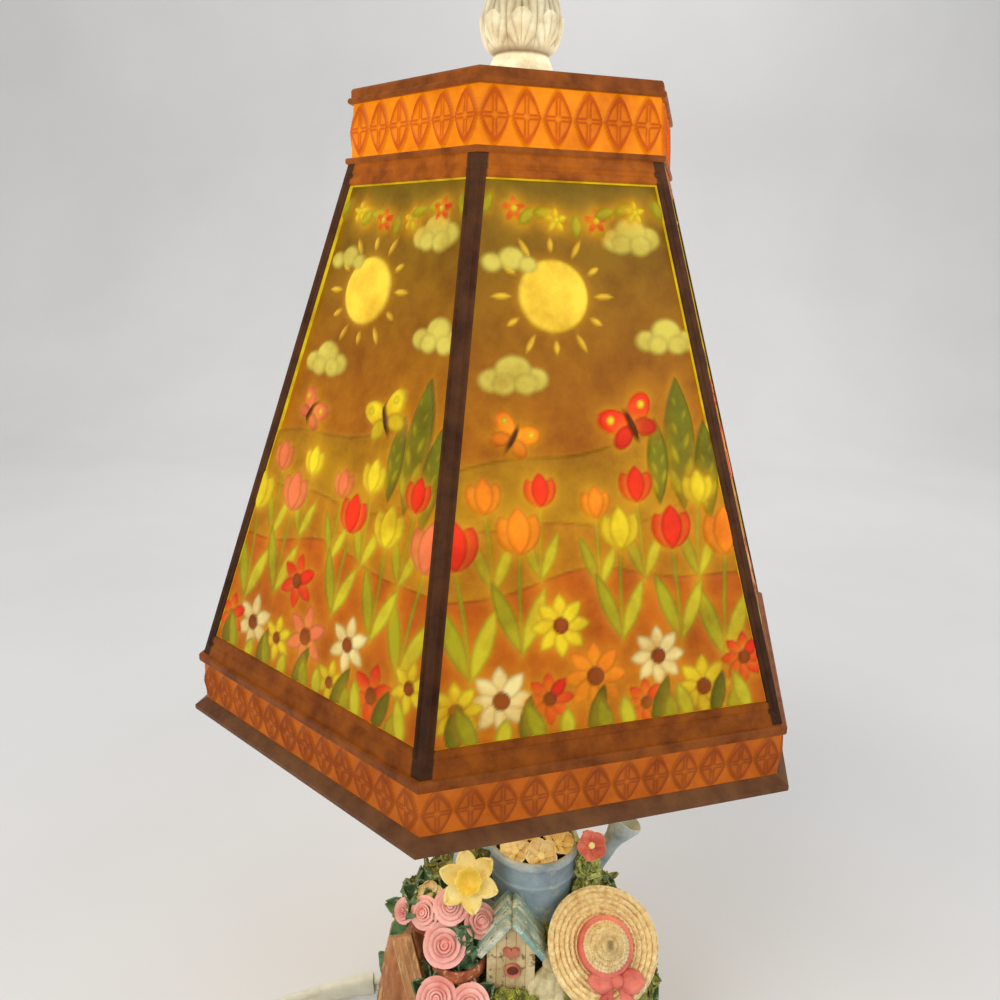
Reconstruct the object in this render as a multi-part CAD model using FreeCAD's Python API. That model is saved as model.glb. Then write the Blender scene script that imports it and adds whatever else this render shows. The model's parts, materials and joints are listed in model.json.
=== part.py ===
import FreeCAD, Part
import math
import os

# Rotating motion lamp: a hexagonal cast shade turns on a geared hub above a sculpted garden base.
# Millimetres, +Z up, the viewer looks along +Y. The origin lies on the table, on the lamp's axis.

V = FreeCAD.Vector
UP = V(0, 0, 1)
X_AXIS = V(1, 0, 0)
Y_AXIS = V(0, 1, 0)

# Clearances
TOUCH = 0.2             # between two fixed pieces that sit against each other
RUNNING = 0.06          # radial play of a turning fit
AXIAL_PLAY = 0.1        # between a turning face and the face that carries it
SLIP = 0.35             # radial play where a piece lifts off

# Shade, a frustum on a regular hexagon
SIDES = 6
HALF_SIDE = 180.0 / SIDES
NEAR_CORNER = -101.7    # degrees, where the corner nearest the viewer stands
SHADE_FOOT = 152.0      # height of the skirt's lower edge above the table
SKIRT_RADIUS = 95.2     # all shade radii run from the axis to a corner
SKIRT_HEIGHT = 15.2
SKIRT_FLARE = 3.6       # how far the lower lip stands out
LIP_HEIGHT = 1.2
FLARE_HEIGHT = 3.2
LOWER_LEDGE_PROUD = 1.4  # how far the ledge stands out from the skirt
LOWER_LEDGE_RADIUS = SKIRT_RADIUS + LOWER_LEDGE_PROUD
LOWER_LEDGE_HEIGHT = 2.7
SLOPE_TOP_RADIUS = 48.6
SLOPE_TOP = 156.1       # height above the skirt's lower edge
UPPER_LEDGE_PROUD = 0.75
UPPER_LEDGE_RADIUS = SLOPE_TOP_RADIUS + UPPER_LEDGE_PROUD
UPPER_LEDGE_HEIGHT = 1.5
BAND_FOOT_RADIUS = SLOPE_TOP_RADIUS - 1.0
BAND_TOP_RADIUS = BAND_FOOT_RADIUS - 0.9
BAND_HEIGHT = 13.6
SHADE_WALL = 3.6        # measured along the corner radius
POST_WIDTH = 3.0        # frame left beside the panel on each side of a corner
PANEL_DEPTH = 1.5       # how far the picture panel lies behind its frame
PANEL_FOOT = 24.0
PANEL_TOP = 150.6
CAP_LEDGE_RADIUS = BAND_TOP_RADIUS + 1.6
CAP_LEDGE_HEIGHT = 1.4
CAP_RADIUS = CAP_LEDGE_RADIUS - 1.0
CAP_HEIGHT = 2.4

# Lozenges cast on the two bands
TOP_LOZENGES = 6        # on each side of the shade
TOP_LOZENGE_WIDTH = 6.4
TOP_LOZENGE_HEIGHT = 12.0
LOW_LOZENGES = 12
LOW_LOZENGE_WIDTH = 6.8
LOW_LOZENGE_HEIGHT = 11.0
LOZENGE_RISE = 0.7
LOZENGE_ROOT = 0.1      # how far each lozenge reaches into the band

# Finial
FINIAL_HEIGHT = 31.0
FINIAL_GLOBE_RADIUS = 11.6
FINIAL_NECK_RADIUS = 7.6
FINIAL_NECK_TOP = 10.5   # height of the neck above the cap
FINIAL_COLLAR_RADIUS = 8.8
FINIAL_LOBES = 8
FINIAL_FLUTE = 0.9      # radius in a valley between two leaves, against the radius on a leaf
INSERT_RADIUS = 5.0
INSERT_HEIGHT = 12.0

# Lamp pipe and what it carries
PIPE_RADIUS = 5.0
PIPE_BORE = 3.5
PIPE_FOOT = 32.0
PIPE_TOP = 158.0
NUT_WIDTH = 14.0        # across flats
NUT_HEIGHT = 3.0
CHASSIS_TOP = 42.0
CHASSIS_THICK = 2.0
WASHER_RADIUS = 9.5
WASHER_THICK = 1.0
SOCKET_FOOT = 149.0
SOCKET_HEIGHT = 50.0
SOCKET_RADIUS = 16.5
SOCKET_CAP_HEIGHT = 12.0
BULB_CENTRE = 243.0
BULB_RADIUS = 24.0
BULB_NECK_RADIUS = 12.0
BULB_BASE_RADIUS = 13.0
BULB_BASE_HEIGHT = 23.0

# Turning parts
HUB_RADIUS = 9.0
HUB_SEAT_RADIUS = 7.5   # where the gear and the harp saddle are pushed on
HUB_TOP = 134.0
GEAR_MODULE = 1.0
RING_TEETH = 36
PINION_TEETH = 12
GEAR_THICK = 5.0
PINION_EXTRA = 1.0      # the pinion is this much thicker than the ring gear
PRESSURE_ANGLE = 25.0
ADDENDUM = 0.8
DEDENDUM = 1.05
BACKLASH = 0.24         # at the pitch circle
SPOKES = 5
SPOKE_WIDTH = 2.2
SADDLE_LENGTH = 62.0
SADDLE_WIDTH = 13.0
SADDLE_THICK = 2.0
SADDLE_HEIGHT = 126.0
SADDLE_EAR = 9.0
SADDLE_EAR_WALL = 1.8   # round the harp's leg
SADDLE_EYE_RADIUS = 11.0
HARP_RADIUS = 1.5
HARP_HALF_WIDTH = 30.0
HARP_CORNER = 22.0
HARP_PLATE_RADIUS = 8.0
HARP_PLATE_THICK = 2.0
STUD_RADIUS = 3.2
STUD_LENGTH = 16.0

# Geared motor
MOTOR_RADIUS = 15.5
MOTOR_HEIGHT = 18.0
GEARBOX_HEIGHT = 7.0
MOTOR_EAR_SPACING = 38.0
MOTOR_EAR_WIDTH = 8.0
MOTOR_EAR_THICK = 1.2
SHAFT_RADIUS = 2.0
SHAFT_BOSS_RADIUS = 4.0

# Base shell
MOUND_CENTRE = (4.0, -10.0)
BASE_RADIUS = 50.0
BASE_FOOT = 2.0
PLINTH_TOP = 13.0
BASE_WALL = 7.0
CAVITY_RADIUS = BASE_RADIUS - BASE_WALL
CAVITY_STEP = 7.0       # the shoulder that the chassis plate lies against
CAVITY_UPPER_RADIUS = CAVITY_RADIUS - CAVITY_STEP
CAVITY_TOP = 60.0
MOUND_FACETS = 24
NECK_RADIUS = 15.0
NECK_TOP = 96.0
NECK_GAP = 2.0          # round the turning hub inside the neck
COVER_RADIUS = 14.0
COVER_THICK = 2.5
COVER_GAP = 0.6         # round the turning hub
PLATE_THICK = 2.0
PLATE_RADIUS = CAVITY_RADIUS - 1.5
SCREW_RADIUS = 1.6
SCREW_HEAD_RADIUS = 3.0
SCREW_HEAD_HEIGHT = 1.4
SCREW_BOSS_RADIUS = 4.5
SCREW_CIRCLE = CAVITY_RADIUS - 2 * SCREW_BOSS_RADIUS
SCREWS = 4
SCREW_DEPTH = 12.0
FOOT_RADIUS = 6.0
FOOT_CIRCLE = 24.0


def rim_spot(inset, bearing, z):
    """A place on the base, at a distance in from its edge and a bearing about the mound's middle."""
    angle = math.radians(bearing)
    reach = BASE_RADIUS - inset
    return V(MOUND_CENTRE[0] + reach * math.cos(angle), MOUND_CENTRE[1] + reach * math.sin(angle), z)


# Garden pieces on the base, each with the place of its foot or its middle
FACING = V(0, -0.8, 0.6)        # towards the viewer and up
STUMP = rim_spot(20.0, 203.57, PLINTH_TOP)
STUMP_RADIUS = 23.0
STUMP_TOP = 77.0
STUMP_FLUTES = 9
RIGHT_ROCK = rim_spot(17.0, 315.0, PLINTH_TOP + 9.0)
LEFT_ROCK = rim_spot(16.9, 245.0, PLINTH_TOP + 5.0)
RIGHT_ROCK_RADIUS = 25.0
RIGHT_ROCK_TOP = 84.0
LEFT_ROCK_RADIUS = 23.2
LEFT_ROCK_TOP = 66.0
BOARD = rim_spot(6.04, 236.13, 38.0)
LEAF_POT = rim_spot(14.0, 217.67, 78.0)
LEAF_POT_HEIGHT = 12.0
CAN_FOOT = rim_spot(31.66, 287.45, 66.0)
CAN_RADIUS = 13.6
CAN_HEIGHT = 42.0
CAN_DEPTH = 9.0         # to the soil that the blossoms grow from
CAN_TOP = CAN_FOOT.z + CAN_HEIGHT
ROSE_POT = rim_spot(10.64, 244.41, 63.0)
ROSE_POT_RADIUS = 8.2
ROSE_POT_HEIGHT = 16.0
DAFFODIL = rim_spot(14.07, 246.72, 103.0)
HOUSE = rim_spot(14.99, 268.36, 66.0)
HOUSE_WIDTH = 14.5
HOUSE_DEPTH = 12.0
HOUSE_EAVES = 20.0
HOUSE_RIDGE = 29.5
MOSS = rim_spot(13.99, 268.41, 52.0)
MOSS_RADIUS = 14.0
HAT = rim_spot(3.67, 304.89, 85.0)
HAT_FACING = V(0.16, -0.7, 0.7)
HAT_RADIUS = 17.2
CROWN_RADIUS = 7.4
CROWN_HEIGHT = 8.5
GLOVE = rim_spot(7.64, 281.58, 58.0)

# Mains cord, a flat twin cord that stands on its edge
CORD_WIDTH = 6.6
CORD_THICK = 3.4
COIL_CENTRE = (-71.0, -113.6)
COIL_OUTER = 47.5       # to the middle of the outermost turn
COIL_PITCH = 5.1
COIL_LAYER = 8.2
COIL_LIFT = 1.2         # the tie holds the coil this far above the table
COIL_IN_QUARTERS = 12
COIL_CLIMB_QUARTERS = 2
COIL_OUT_QUARTERS = 11
SWITCH_CENTRE = (-116.5, -55.0)
SWITCH_LENGTH = 36.0
SWITCH_WIDTH = 18.0
SWITCH_HEIGHT = 15.0
SWITCH_SLOT_GAP = 0.4    # round the cord inside the switch
ROCKER_LENGTH = 15.0
ROCKER_WIDTH = 8.0
ROCKER_GAP = 0.6         # round the rocker in its well
WELL_DEPTH = 5.4
ROCKER_PIN = 1.0
PLUG_LENGTH = 26.0
PLUG_WIDTH = 22.0
PLUG_HEIGHT = 14.0
BLADE_LENGTH = 16.0
BLADE_WIDTH = 6.4
BLADE_THICK = 1.5
BLADE_SPACING = 12.7
TIE_THICK = 0.8
TIE_WIDTH = 6.0
TIE_SLACK = 0.4          # between the tie and the wound cord

# Exit boss and bushing of the cord
EXIT_HEIGHT = 7.5
EXIT_Y = 15.0
BOSS_FACE = MOUND_CENTRE[0] - BASE_RADIUS + 2.0
BUSHING_FLANGE = 2.5
BUSHING_LENGTH = 11.0
BUSHING_WALL = 1.5
BUSHING_SLOT_GAP = 0.25
BUSHING_INNER = BOSS_FACE + BUSHING_LENGTH

os.makedirs("parts", exist_ok=True)
built = {}


def save(name, shape):
    """Keep a solid under its name and write it as STEP."""
    built[name] = shape
    shape.exportStep("parts/" + name + ".step")


def polar(radius, degrees, z=0.0):
    angle = math.radians(degrees)
    return V(radius * math.cos(angle), radius * math.sin(angle), z)


def closed(points):
    """A closed wire through the points."""
    return Part.makePolygon(list(points) + [points[0]])


def prism(points, direction):
    return Part.Face(closed(points)).extrude(direction)


def disc(radius, height, z=0.0, x=0.0, y=0.0):
    return Part.makeCylinder(radius, height, V(x, y, z))


def tube(outer, inner, height, z=0.0, x=0.0, y=0.0):
    return disc(outer, height, z, x, y).cut(disc(inner, height, z, x, y))


def stacked(rings, hollow=False):
    """A solid with flat facets through similar rings; a hollow one runs from the last ring to the first."""
    pairs = list(zip(rings, rings[1:]))
    faces = []
    if hollow:
        pairs.append((rings[-1], rings[0]))
    else:
        faces = [Part.Face(closed(rings[0])), Part.Face(closed(rings[-1]))]
    for low, high in pairs:
        for k in range(len(low)):
            after = (k + 1) % len(low)
            faces.append(Part.Face(closed([low[k], low[after], high[after], high[k]])))
    shell = Part.makeShell(faces)
    shell.sewShape()
    solid = Part.makeSolid(shell)
    if solid.Volume < 0:
        solid.reverse()
    return solid


def post(radius, height, z, x=0.0, y=0.0, facets=16):
    """A faceted cylinder whose flats lie at the radius, so that as a hole it clears a round pin."""
    corner = radius / math.cos(math.pi / facets)
    return prism([polar(corner, 360.0 * k / facets, z) + V(x, y, 0) for k in range(facets)], UP * height)


def lobed_ring(radius, z, lobes, valley, centre=(0.0, 0.0), turn=0.0):
    """A star-like ring whose radius falls to the valley share between its lobes."""
    points = []
    for k in range(2 * lobes):
        share = 1.0 if k % 2 == 0 else valley
        angle = turn + k * 180.0 / lobes
        points.append(polar(radius * share, angle, z) + V(centre[0], centre[1], 0))
    return points


def even_ring(radius, z, facets, centre=(0.0, 0.0)):
    return [polar(radius, 360.0 * k / facets, z) + V(centre[0], centre[1], 0) for k in range(facets)]


def faceted(profile, facets, centre=(0.0, 0.0), hollow=False):
    """A faceted solid of revolution from (radius, height) points, closed flat at both ends unless hollow."""
    return stacked([even_ring(radius, z, facets, centre) for radius, z in profile], hollow)


def placed(shape, position, axis=UP, roll=0.0):
    """Turn a shape made along Z so that it points along the axis, and move it to its position."""
    shape = shape.copy()
    shape.rotate(V(0, 0, 0), UP, roll)
    turn = FreeCAD.Placement(V(*position), FreeCAD.Rotation(UP, V(*axis)))
    shape.Placement = turn.multiply(shape.Placement)
    return shape


def without(shape, *others):
    """Cut away what other pieces already fill and keep the largest solid left."""
    for other in others:
        shape = shape.cut(other)
    return max(shape.Solids, key=lambda solid: solid.Volume)


def group(solids):
    return Part.makeCompound(solids)


# Shade
def apothem(radius):
    return radius * math.cos(math.radians(HALF_SIDE))


def slope_radius(z):
    """Corner radius of the sloped side at a height above the skirt's lower edge."""
    low = SKIRT_HEIGHT + LOWER_LEDGE_HEIGHT
    share = (z - low) / (SLOPE_TOP - low)
    return SKIRT_RADIUS + share * (SLOPE_TOP_RADIUS - SKIRT_RADIUS)


def side_profile():
    """Outline of a side in section, as (corner radius, height) from the lip up and down again inside."""
    ledge_top = SKIRT_HEIGHT + LOWER_LEDGE_HEIGHT
    band_foot = SLOPE_TOP + UPPER_LEDGE_HEIGHT
    outside = [
        (SKIRT_RADIUS + SKIRT_FLARE, 0.0),
        (SKIRT_RADIUS + SKIRT_FLARE, LIP_HEIGHT),
        (SKIRT_RADIUS, FLARE_HEIGHT),
        (SKIRT_RADIUS, SKIRT_HEIGHT),
        (LOWER_LEDGE_RADIUS, SKIRT_HEIGHT),
        (LOWER_LEDGE_RADIUS, ledge_top),
        (SKIRT_RADIUS, ledge_top),
        (SLOPE_TOP_RADIUS, SLOPE_TOP),
        (UPPER_LEDGE_RADIUS, SLOPE_TOP),
        (UPPER_LEDGE_RADIUS, band_foot),
        (BAND_FOOT_RADIUS, band_foot),
        (BAND_TOP_RADIUS, band_foot + BAND_HEIGHT),
    ]
    inside = [
        (BAND_TOP_RADIUS - SHADE_WALL, band_foot + BAND_HEIGHT),
        (BAND_FOOT_RADIUS - SHADE_WALL, SLOPE_TOP),
        (SKIRT_RADIUS - SHADE_WALL, SKIRT_HEIGHT),
        (SKIRT_RADIUS - SHADE_WALL, FLARE_HEIGHT),
        (SKIRT_RADIUS - SHADE_WALL + SKIRT_FLARE / 2, 0.0),
    ]
    return outside + inside


def band_top():
    return SLOPE_TOP + UPPER_LEDGE_HEIGHT + BAND_HEIGHT


def on_side(radius, z, along):
    """A point of the side that faces +X: on the plane of a corner radius, at a distance along the side."""
    return V(apothem(radius), along, z)


def lozenge(width, height, foot, top, along):
    """A raised rhombus on the side face between two (radius, height) edges."""
    foot_point = on_side(foot[0], foot[1], 0)
    top_point = on_side(top[0], top[1], 0)
    up = (top_point - foot_point).normalize()
    out = Y_AXIS.cross(up)
    centre = (foot_point + top_point) * 0.5 + Y_AXIS * along - out * LOZENGE_ROOT
    corners = [(0, -height / 2), (width / 2, 0), (0, height / 2), (-width / 2, 0)]
    return prism([centre + Y_AXIS * a + up * b for a, b in corners], out * (LOZENGE_RISE + LOZENGE_ROOT))


def band_of_lozenges(count, width, height, foot, top):
    """An even row of lozenges along one side."""
    side_length = (foot[0] + top[0]) / 2
    pitch = side_length / count
    return [lozenge(width, height, foot, top, (k - (count - 1) / 2) * pitch) for k in range(count)]


def panel_recess():
    """The space in front of the picture panel, between the corner posts."""
    low = on_side(slope_radius(PANEL_FOOT), PANEL_FOOT, 0)
    high = on_side(slope_radius(PANEL_TOP), PANEL_TOP, 0)
    out = Y_AXIS.cross((high - low).normalize())
    half_low = slope_radius(PANEL_FOOT) / 2 - POST_WIDTH
    half_high = slope_radius(PANEL_TOP) / 2 - POST_WIDTH
    outline = [
        low - Y_AXIS * half_low,
        low + Y_AXIS * half_low,
        high + Y_AXIS * half_high,
        high - Y_AXIS * half_high,
    ]
    return prism([p - out * PANEL_DEPTH for p in outline], out * (PANEL_DEPTH + 1.0))


def shade_side():
    """One casting that faces +X: skirt, ledges, framed picture panel and top band."""
    reach = SKIRT_RADIUS + SKIRT_FLARE
    section = [V(apothem(radius), -reach, z) for radius, z in side_profile()]
    blank = prism(section, Y_AXIS * (2 * reach))
    wedge = prism([V(0, 0, -1), polar(2 * reach, -HALF_SIDE, -1), polar(2 * reach, HALF_SIDE, -1)],
                  UP * (band_top() + 2))
    side = blank.common(wedge).cut(panel_recess())
    band_foot = SLOPE_TOP + UPPER_LEDGE_HEIGHT
    upper = band_of_lozenges(TOP_LOZENGES, TOP_LOZENGE_WIDTH, TOP_LOZENGE_HEIGHT,
                             (BAND_FOOT_RADIUS, band_foot), (BAND_TOP_RADIUS, band_top()))
    lower = band_of_lozenges(LOW_LOZENGES, LOW_LOZENGE_WIDTH, LOW_LOZENGE_HEIGHT,
                             (SKIRT_RADIUS, FLARE_HEIGHT), (SKIRT_RADIUS, SKIRT_HEIGHT))
    side = side.fuse(upper + lower).common(wedge).removeSplitter()
    side.translate(V(0, 0, SHADE_FOOT))
    return side


def shade_cap():
    """The hexagonal plate that closes the shade and rests on the harp."""
    foot = SHADE_FOOT + band_top()

    def plate(radius, z, height):
        corners = [polar(radius, NEAR_CORNER + k * 360.0 / SIDES, z) for k in range(SIDES)]
        return prism(corners, UP * height)

    cap = plate(CAP_LEDGE_RADIUS, foot, CAP_LEDGE_HEIGHT)
    cap = cap.fuse(plate(CAP_RADIUS, foot + CAP_LEDGE_HEIGHT, CAP_HEIGHT))
    bore = disc(STUD_RADIUS + SLIP, CAP_LEDGE_HEIGHT + CAP_HEIGHT, foot)
    return cap.cut(bore)


def cap_top():
    return SHADE_FOOT + band_top() + CAP_LEDGE_HEIGHT + CAP_HEIGHT


def finial():
    """A globe of upright leaves on a waisted neck, threaded over the harp's stud."""
    foot = cap_top()
    neck_top = foot + FINIAL_NECK_TOP
    neck = faceted([
        (FINIAL_COLLAR_RADIUS, foot),
        (FINIAL_COLLAR_RADIUS, foot + 3.0),
        (FINIAL_NECK_RADIUS, foot + 7.0),
        (FINIAL_NECK_RADIUS, neck_top),
    ], 24)
    rise = cap_top() + FINIAL_HEIGHT - neck_top
    shares = [(0.72, 0.0), (0.92, 0.16), (1.0, 0.42), (0.9, 0.7), (0.62, 0.9), (0.25, 1.0)]
    points = 2 * FINIAL_LOBES
    globe = stacked([lobed_ring(FINIAL_GLOBE_RADIUS * share, neck_top + rise * height, points, FINIAL_FLUTE)
                     for share, height in shares])
    return neck.fuse(globe).cut(post(INSERT_RADIUS + TOUCH / 4, INSERT_HEIGHT + TOUCH, foot, facets=24))


def finial_insert():
    """Brass bush inside the finial."""
    bush = faceted([(INSERT_RADIUS, cap_top()), (INSERT_RADIUS, cap_top() + INSERT_HEIGHT)], 24)
    return bush.cut(disc(STUD_RADIUS + RUNNING, INSERT_HEIGHT, cap_top()))


# Turning parts
def involute(base, radius):
    """Polar angle in radians of an involute where it reaches a radius."""
    roll = math.sqrt(max((radius / base) ** 2 - 1.0, 0.0))
    return roll - math.atan(roll)


def gear_outline(teeth, z, turn=0.0):
    """Corner points of a spur gear with involute flanks and backlash."""
    pitch = GEAR_MODULE * teeth / 2
    base = pitch * math.cos(math.radians(PRESSURE_ANGLE))
    tip = pitch + ADDENDUM * GEAR_MODULE
    root = pitch - DEDENDUM * GEAR_MODULE
    half_tooth = math.pi / (2 * teeth) - BACKLASH / (4 * pitch)
    at_pitch = involute(base, pitch)
    flank = []
    low = max(base, root)
    for k in range(3):
        radius = low + (tip - low) * k / 2
        flank.append((radius, half_tooth + at_pitch - involute(base, radius)))
    if root < base:
        flank.insert(0, (root, flank[0][1]))
    points = []
    for tooth in range(teeth):
        centre = 2 * math.pi * tooth / teeth + math.radians(turn)
        for radius, half in flank:
            points.append(polar(radius, math.degrees(centre - half), z))
        for radius, half in reversed(flank):
            points.append(polar(radius, math.degrees(centre + half), z))
    return points


def gear_centre_distance():
    return GEAR_MODULE * (RING_TEETH + PINION_TEETH) / 2


def hub_foot():
    return CHASSIS_TOP + NUT_HEIGHT + WASHER_THICK + AXIAL_PLAY


def gear_foot():
    return hub_foot() + 1.0


def rotor_hub():
    """Brass sleeve that turns on the lamp pipe, stepped for the gear below and the saddle above."""
    foot = hub_foot()
    gear_top = gear_foot() + GEAR_THICK
    hub = faceted([
        (HUB_SEAT_RADIUS, foot),
        (HUB_SEAT_RADIUS, gear_top),
        (HUB_RADIUS, gear_top),
        (HUB_RADIUS, SADDLE_HEIGHT),
        (HUB_SEAT_RADIUS, SADDLE_HEIGHT),
        (HUB_SEAT_RADIUS, HUB_TOP),
    ], 24)
    return hub.cut(disc(PIPE_RADIUS + RUNNING, HUB_TOP - foot, foot))


def ring_gear():
    foot = gear_foot()
    gear = prism(gear_outline(RING_TEETH, foot), UP * GEAR_THICK)
    gear = gear.cut(post(HUB_SEAT_RADIUS + TOUCH / 4, GEAR_THICK, foot, facets=30))
    inner = HUB_SEAT_RADIUS + SPOKE_WIDTH
    outer = GEAR_MODULE * (RING_TEETH / 2 - DEDENDUM) - SPOKE_WIDTH
    for k in range(SPOKES):
        middle = (k + 0.5) * 360.0 / SPOKES
        window = []
        for radius, side in ((inner, -1), (outer, -1), (outer, 0), (outer, 1), (inner, 1)):
            half = 180.0 / SPOKES - math.degrees(SPOKE_WIDTH / 2 / radius)
            window.append(polar(radius, middle + side * half, foot))
        gear = gear.cut(prism(window, UP * GEAR_THICK))
    return gear


def motor_spot():
    """The motor shaft stands in front of the lamp's axis, one centre distance away."""
    return V(0, -gear_centre_distance(), 0)


def pinion():
    """Steel pinion with its shaft, meshed with the ring gear."""
    foot = gear_foot() - PINION_EXTRA / 2
    half_pitch = 180.0 / PINION_TEETH
    gear = prism(gear_outline(PINION_TEETH, foot, 90.0 + half_pitch), UP * (GEAR_THICK + PINION_EXTRA))
    shaft_foot = CHASSIS_TOP - CHASSIS_THICK - GEARBOX_HEIGHT
    shaft = disc(SHAFT_RADIUS, foot + GEAR_THICK + PINION_EXTRA + 2 - shaft_foot, shaft_foot)
    body = gear.fuse(shaft)
    body.translate(motor_spot())
    return body


def gear_motor():
    """Round motor can under a flat gearbox with two ears, hung under the chassis plate."""
    top = CHASSIS_TOP - CHASSIS_THICK
    box_foot = top - GEARBOX_HEIGHT
    motor = post(MOTOR_RADIUS - 1.0, MOTOR_HEIGHT, box_foot - MOTOR_HEIGHT, facets=24)
    motor = motor.fuse(post(MOTOR_RADIUS, GEARBOX_HEIGHT, box_foot, facets=24))
    ear_foot = top - MOTOR_EAR_THICK
    ears = Part.makeBox(MOTOR_EAR_SPACING, MOTOR_EAR_WIDTH, MOTOR_EAR_THICK,
                        V(-MOTOR_EAR_SPACING / 2, -MOTOR_EAR_WIDTH / 2, ear_foot))
    motor = motor.fuse(ears)
    for side in (-1, 1):
        x = side * MOTOR_EAR_SPACING / 2
        motor = motor.fuse(post(MOTOR_EAR_WIDTH / 2, MOTOR_EAR_THICK, ear_foot, x, facets=12))
        motor = motor.cut(post(SCREW_RADIUS + TOUCH / 2, MOTOR_EAR_THICK, ear_foot, x, facets=12))
    motor = motor.fuse(post(SHAFT_BOSS_RADIUS, CHASSIS_THICK, top))
    motor = motor.cut(disc(SHAFT_RADIUS + RUNNING, GEARBOX_HEIGHT + CHASSIS_THICK, box_foot))
    motor.translate(motor_spot())
    return motor.removeSplitter()


def harp_saddle():
    """Steel cross strip with upturned ears that hold the harp's two legs."""
    strip = Part.makeBox(SADDLE_LENGTH, SADDLE_WIDTH, SADDLE_THICK,
                         V(-SADDLE_LENGTH / 2, -SADDLE_WIDTH / 2, SADDLE_HEIGHT))
    strip = strip.fuse(post(SADDLE_EYE_RADIUS, SADDLE_THICK, SADDLE_HEIGHT, facets=24))
    strip = strip.cut(post(HUB_SEAT_RADIUS + TOUCH / 4, SADDLE_THICK, SADDLE_HEIGHT, facets=24))
    floor = SADDLE_HEIGHT + SADDLE_THICK
    for side in (-1, 1):
        x = side * HARP_HALF_WIDTH
        strip = strip.fuse(post(HARP_RADIUS + SADDLE_EAR_WALL, SADDLE_EAR, SADDLE_HEIGHT, x))
        strip = strip.cut(post(HARP_RADIUS + TOUCH / 4, SADDLE_EAR - SADDLE_THICK, floor, x))
    return strip.removeSplitter()


def hexagon(width, z, x=0.0, y=0.0):
    radius = width / 2 / math.cos(math.radians(30))
    return [polar(radius, 60 * k, z) + V(x, y, 0) for k in range(6)]


def nut(bore, width, height, z):
    return prism(hexagon(width, z), UP * height).cut(post(bore, height, z, facets=24))


def harp_top():
    return SHADE_FOOT + band_top()


def harp():
    """Bent wire loop round the bulb, with the plate and threaded stud that carry the shade."""
    foot = SADDLE_HEIGHT + SADDLE_THICK
    plate_foot = harp_top() - HARP_PLATE_THICK
    bend = plate_foot - HARP_RADIUS
    corner = HARP_CORNER
    turn = math.sqrt(0.5) * corner
    edges = [
        Part.makeLine(V(-HARP_HALF_WIDTH, 0, foot), V(-HARP_HALF_WIDTH, 0, bend - corner)),
        Part.Arc(V(-HARP_HALF_WIDTH, 0, bend - corner),
                 V(-HARP_HALF_WIDTH + corner - turn, 0, bend - corner + turn),
                 V(-HARP_HALF_WIDTH + corner, 0, bend)).toShape(),
        Part.makeLine(V(-HARP_HALF_WIDTH + corner, 0, bend), V(HARP_HALF_WIDTH - corner, 0, bend)),
        Part.Arc(V(HARP_HALF_WIDTH - corner, 0, bend),
                 V(HARP_HALF_WIDTH - corner + turn, 0, bend - corner + turn),
                 V(HARP_HALF_WIDTH, 0, bend - corner)).toShape(),
        Part.makeLine(V(HARP_HALF_WIDTH, 0, bend - corner), V(HARP_HALF_WIDTH, 0, foot)),
    ]
    start = closed(even_ring(HARP_RADIUS, foot, 6, (-HARP_HALF_WIDTH, 0.0)))
    loop = Part.Wire(edges).makePipeShell([start], True, False)
    plate = post(HARP_PLATE_RADIUS, HARP_PLATE_THICK + HARP_RADIUS, plate_foot - HARP_RADIUS)
    stud = disc(STUD_RADIUS, STUD_LENGTH, harp_top())
    return loop.fuse([plate, stud]).removeSplitter()


# Fixed parts on the pipe
def lamp_pipe():
    return tube(PIPE_RADIUS, PIPE_BORE, PIPE_TOP - PIPE_FOOT, PIPE_FOOT)


def pipe_nuts():
    """Lock nuts above and below the chassis plate and one under the socket."""
    bore = PIPE_RADIUS + TOUCH / 4
    return group([
        nut(bore, NUT_WIDTH, NUT_HEIGHT, CHASSIS_TOP - CHASSIS_THICK - NUT_HEIGHT),
        nut(bore, NUT_WIDTH, NUT_HEIGHT, CHASSIS_TOP),
        nut(bore, NUT_WIDTH, NUT_HEIGHT, SOCKET_FOOT - NUT_HEIGHT),
    ])


def thrust_washer():
    """Nylon washer that the hub turns on."""
    foot = CHASSIS_TOP + NUT_HEIGHT
    return post(WASHER_RADIUS, WASHER_THICK, foot, facets=24).cut(
        post(PIPE_RADIUS + TOUCH / 2, WASHER_THICK, foot, facets=24))


def lamp_socket():
    """Turned shell with a domed cap that screws onto the pipe."""
    top = SOCKET_FOOT + SOCKET_HEIGHT
    waist = SOCKET_FOOT + SOCKET_CAP_HEIGHT
    outer = faceted([
        (SOCKET_RADIUS * 0.6, SOCKET_FOOT),
        (SOCKET_RADIUS * 0.85, SOCKET_FOOT + SOCKET_CAP_HEIGHT * 0.4),
        (SOCKET_RADIUS, waist),
        (SOCKET_RADIUS, waist + 3),
        (SOCKET_RADIUS - 1, waist + 4),
        (SOCKET_RADIUS - 1, top - 2),
        (SOCKET_RADIUS, top - 1),
        (SOCKET_RADIUS, top),
    ], 24)
    cup = post(BULB_BASE_RADIUS + TOUCH, top - bulb_foot(), bulb_foot(), facets=24)
    bore = post(PIPE_RADIUS + TOUCH / 4, PIPE_TOP - SOCKET_FOOT + TOUCH, SOCKET_FOOT, facets=24)
    return outer.cut(cup).cut(bore)


def bulb_foot():
    return SOCKET_FOOT + SOCKET_HEIGHT - BULB_BASE_HEIGHT - 1.0


def bulb_base():
    """Screw shell of the bulb."""
    return faceted([
        (BULB_BASE_RADIUS * 0.5, bulb_foot() + TOUCH),
        (BULB_BASE_RADIUS, bulb_foot() + TOUCH + 4),
        (BULB_BASE_RADIUS, bulb_foot() + TOUCH + BULB_BASE_HEIGHT),
    ], 24)


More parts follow.
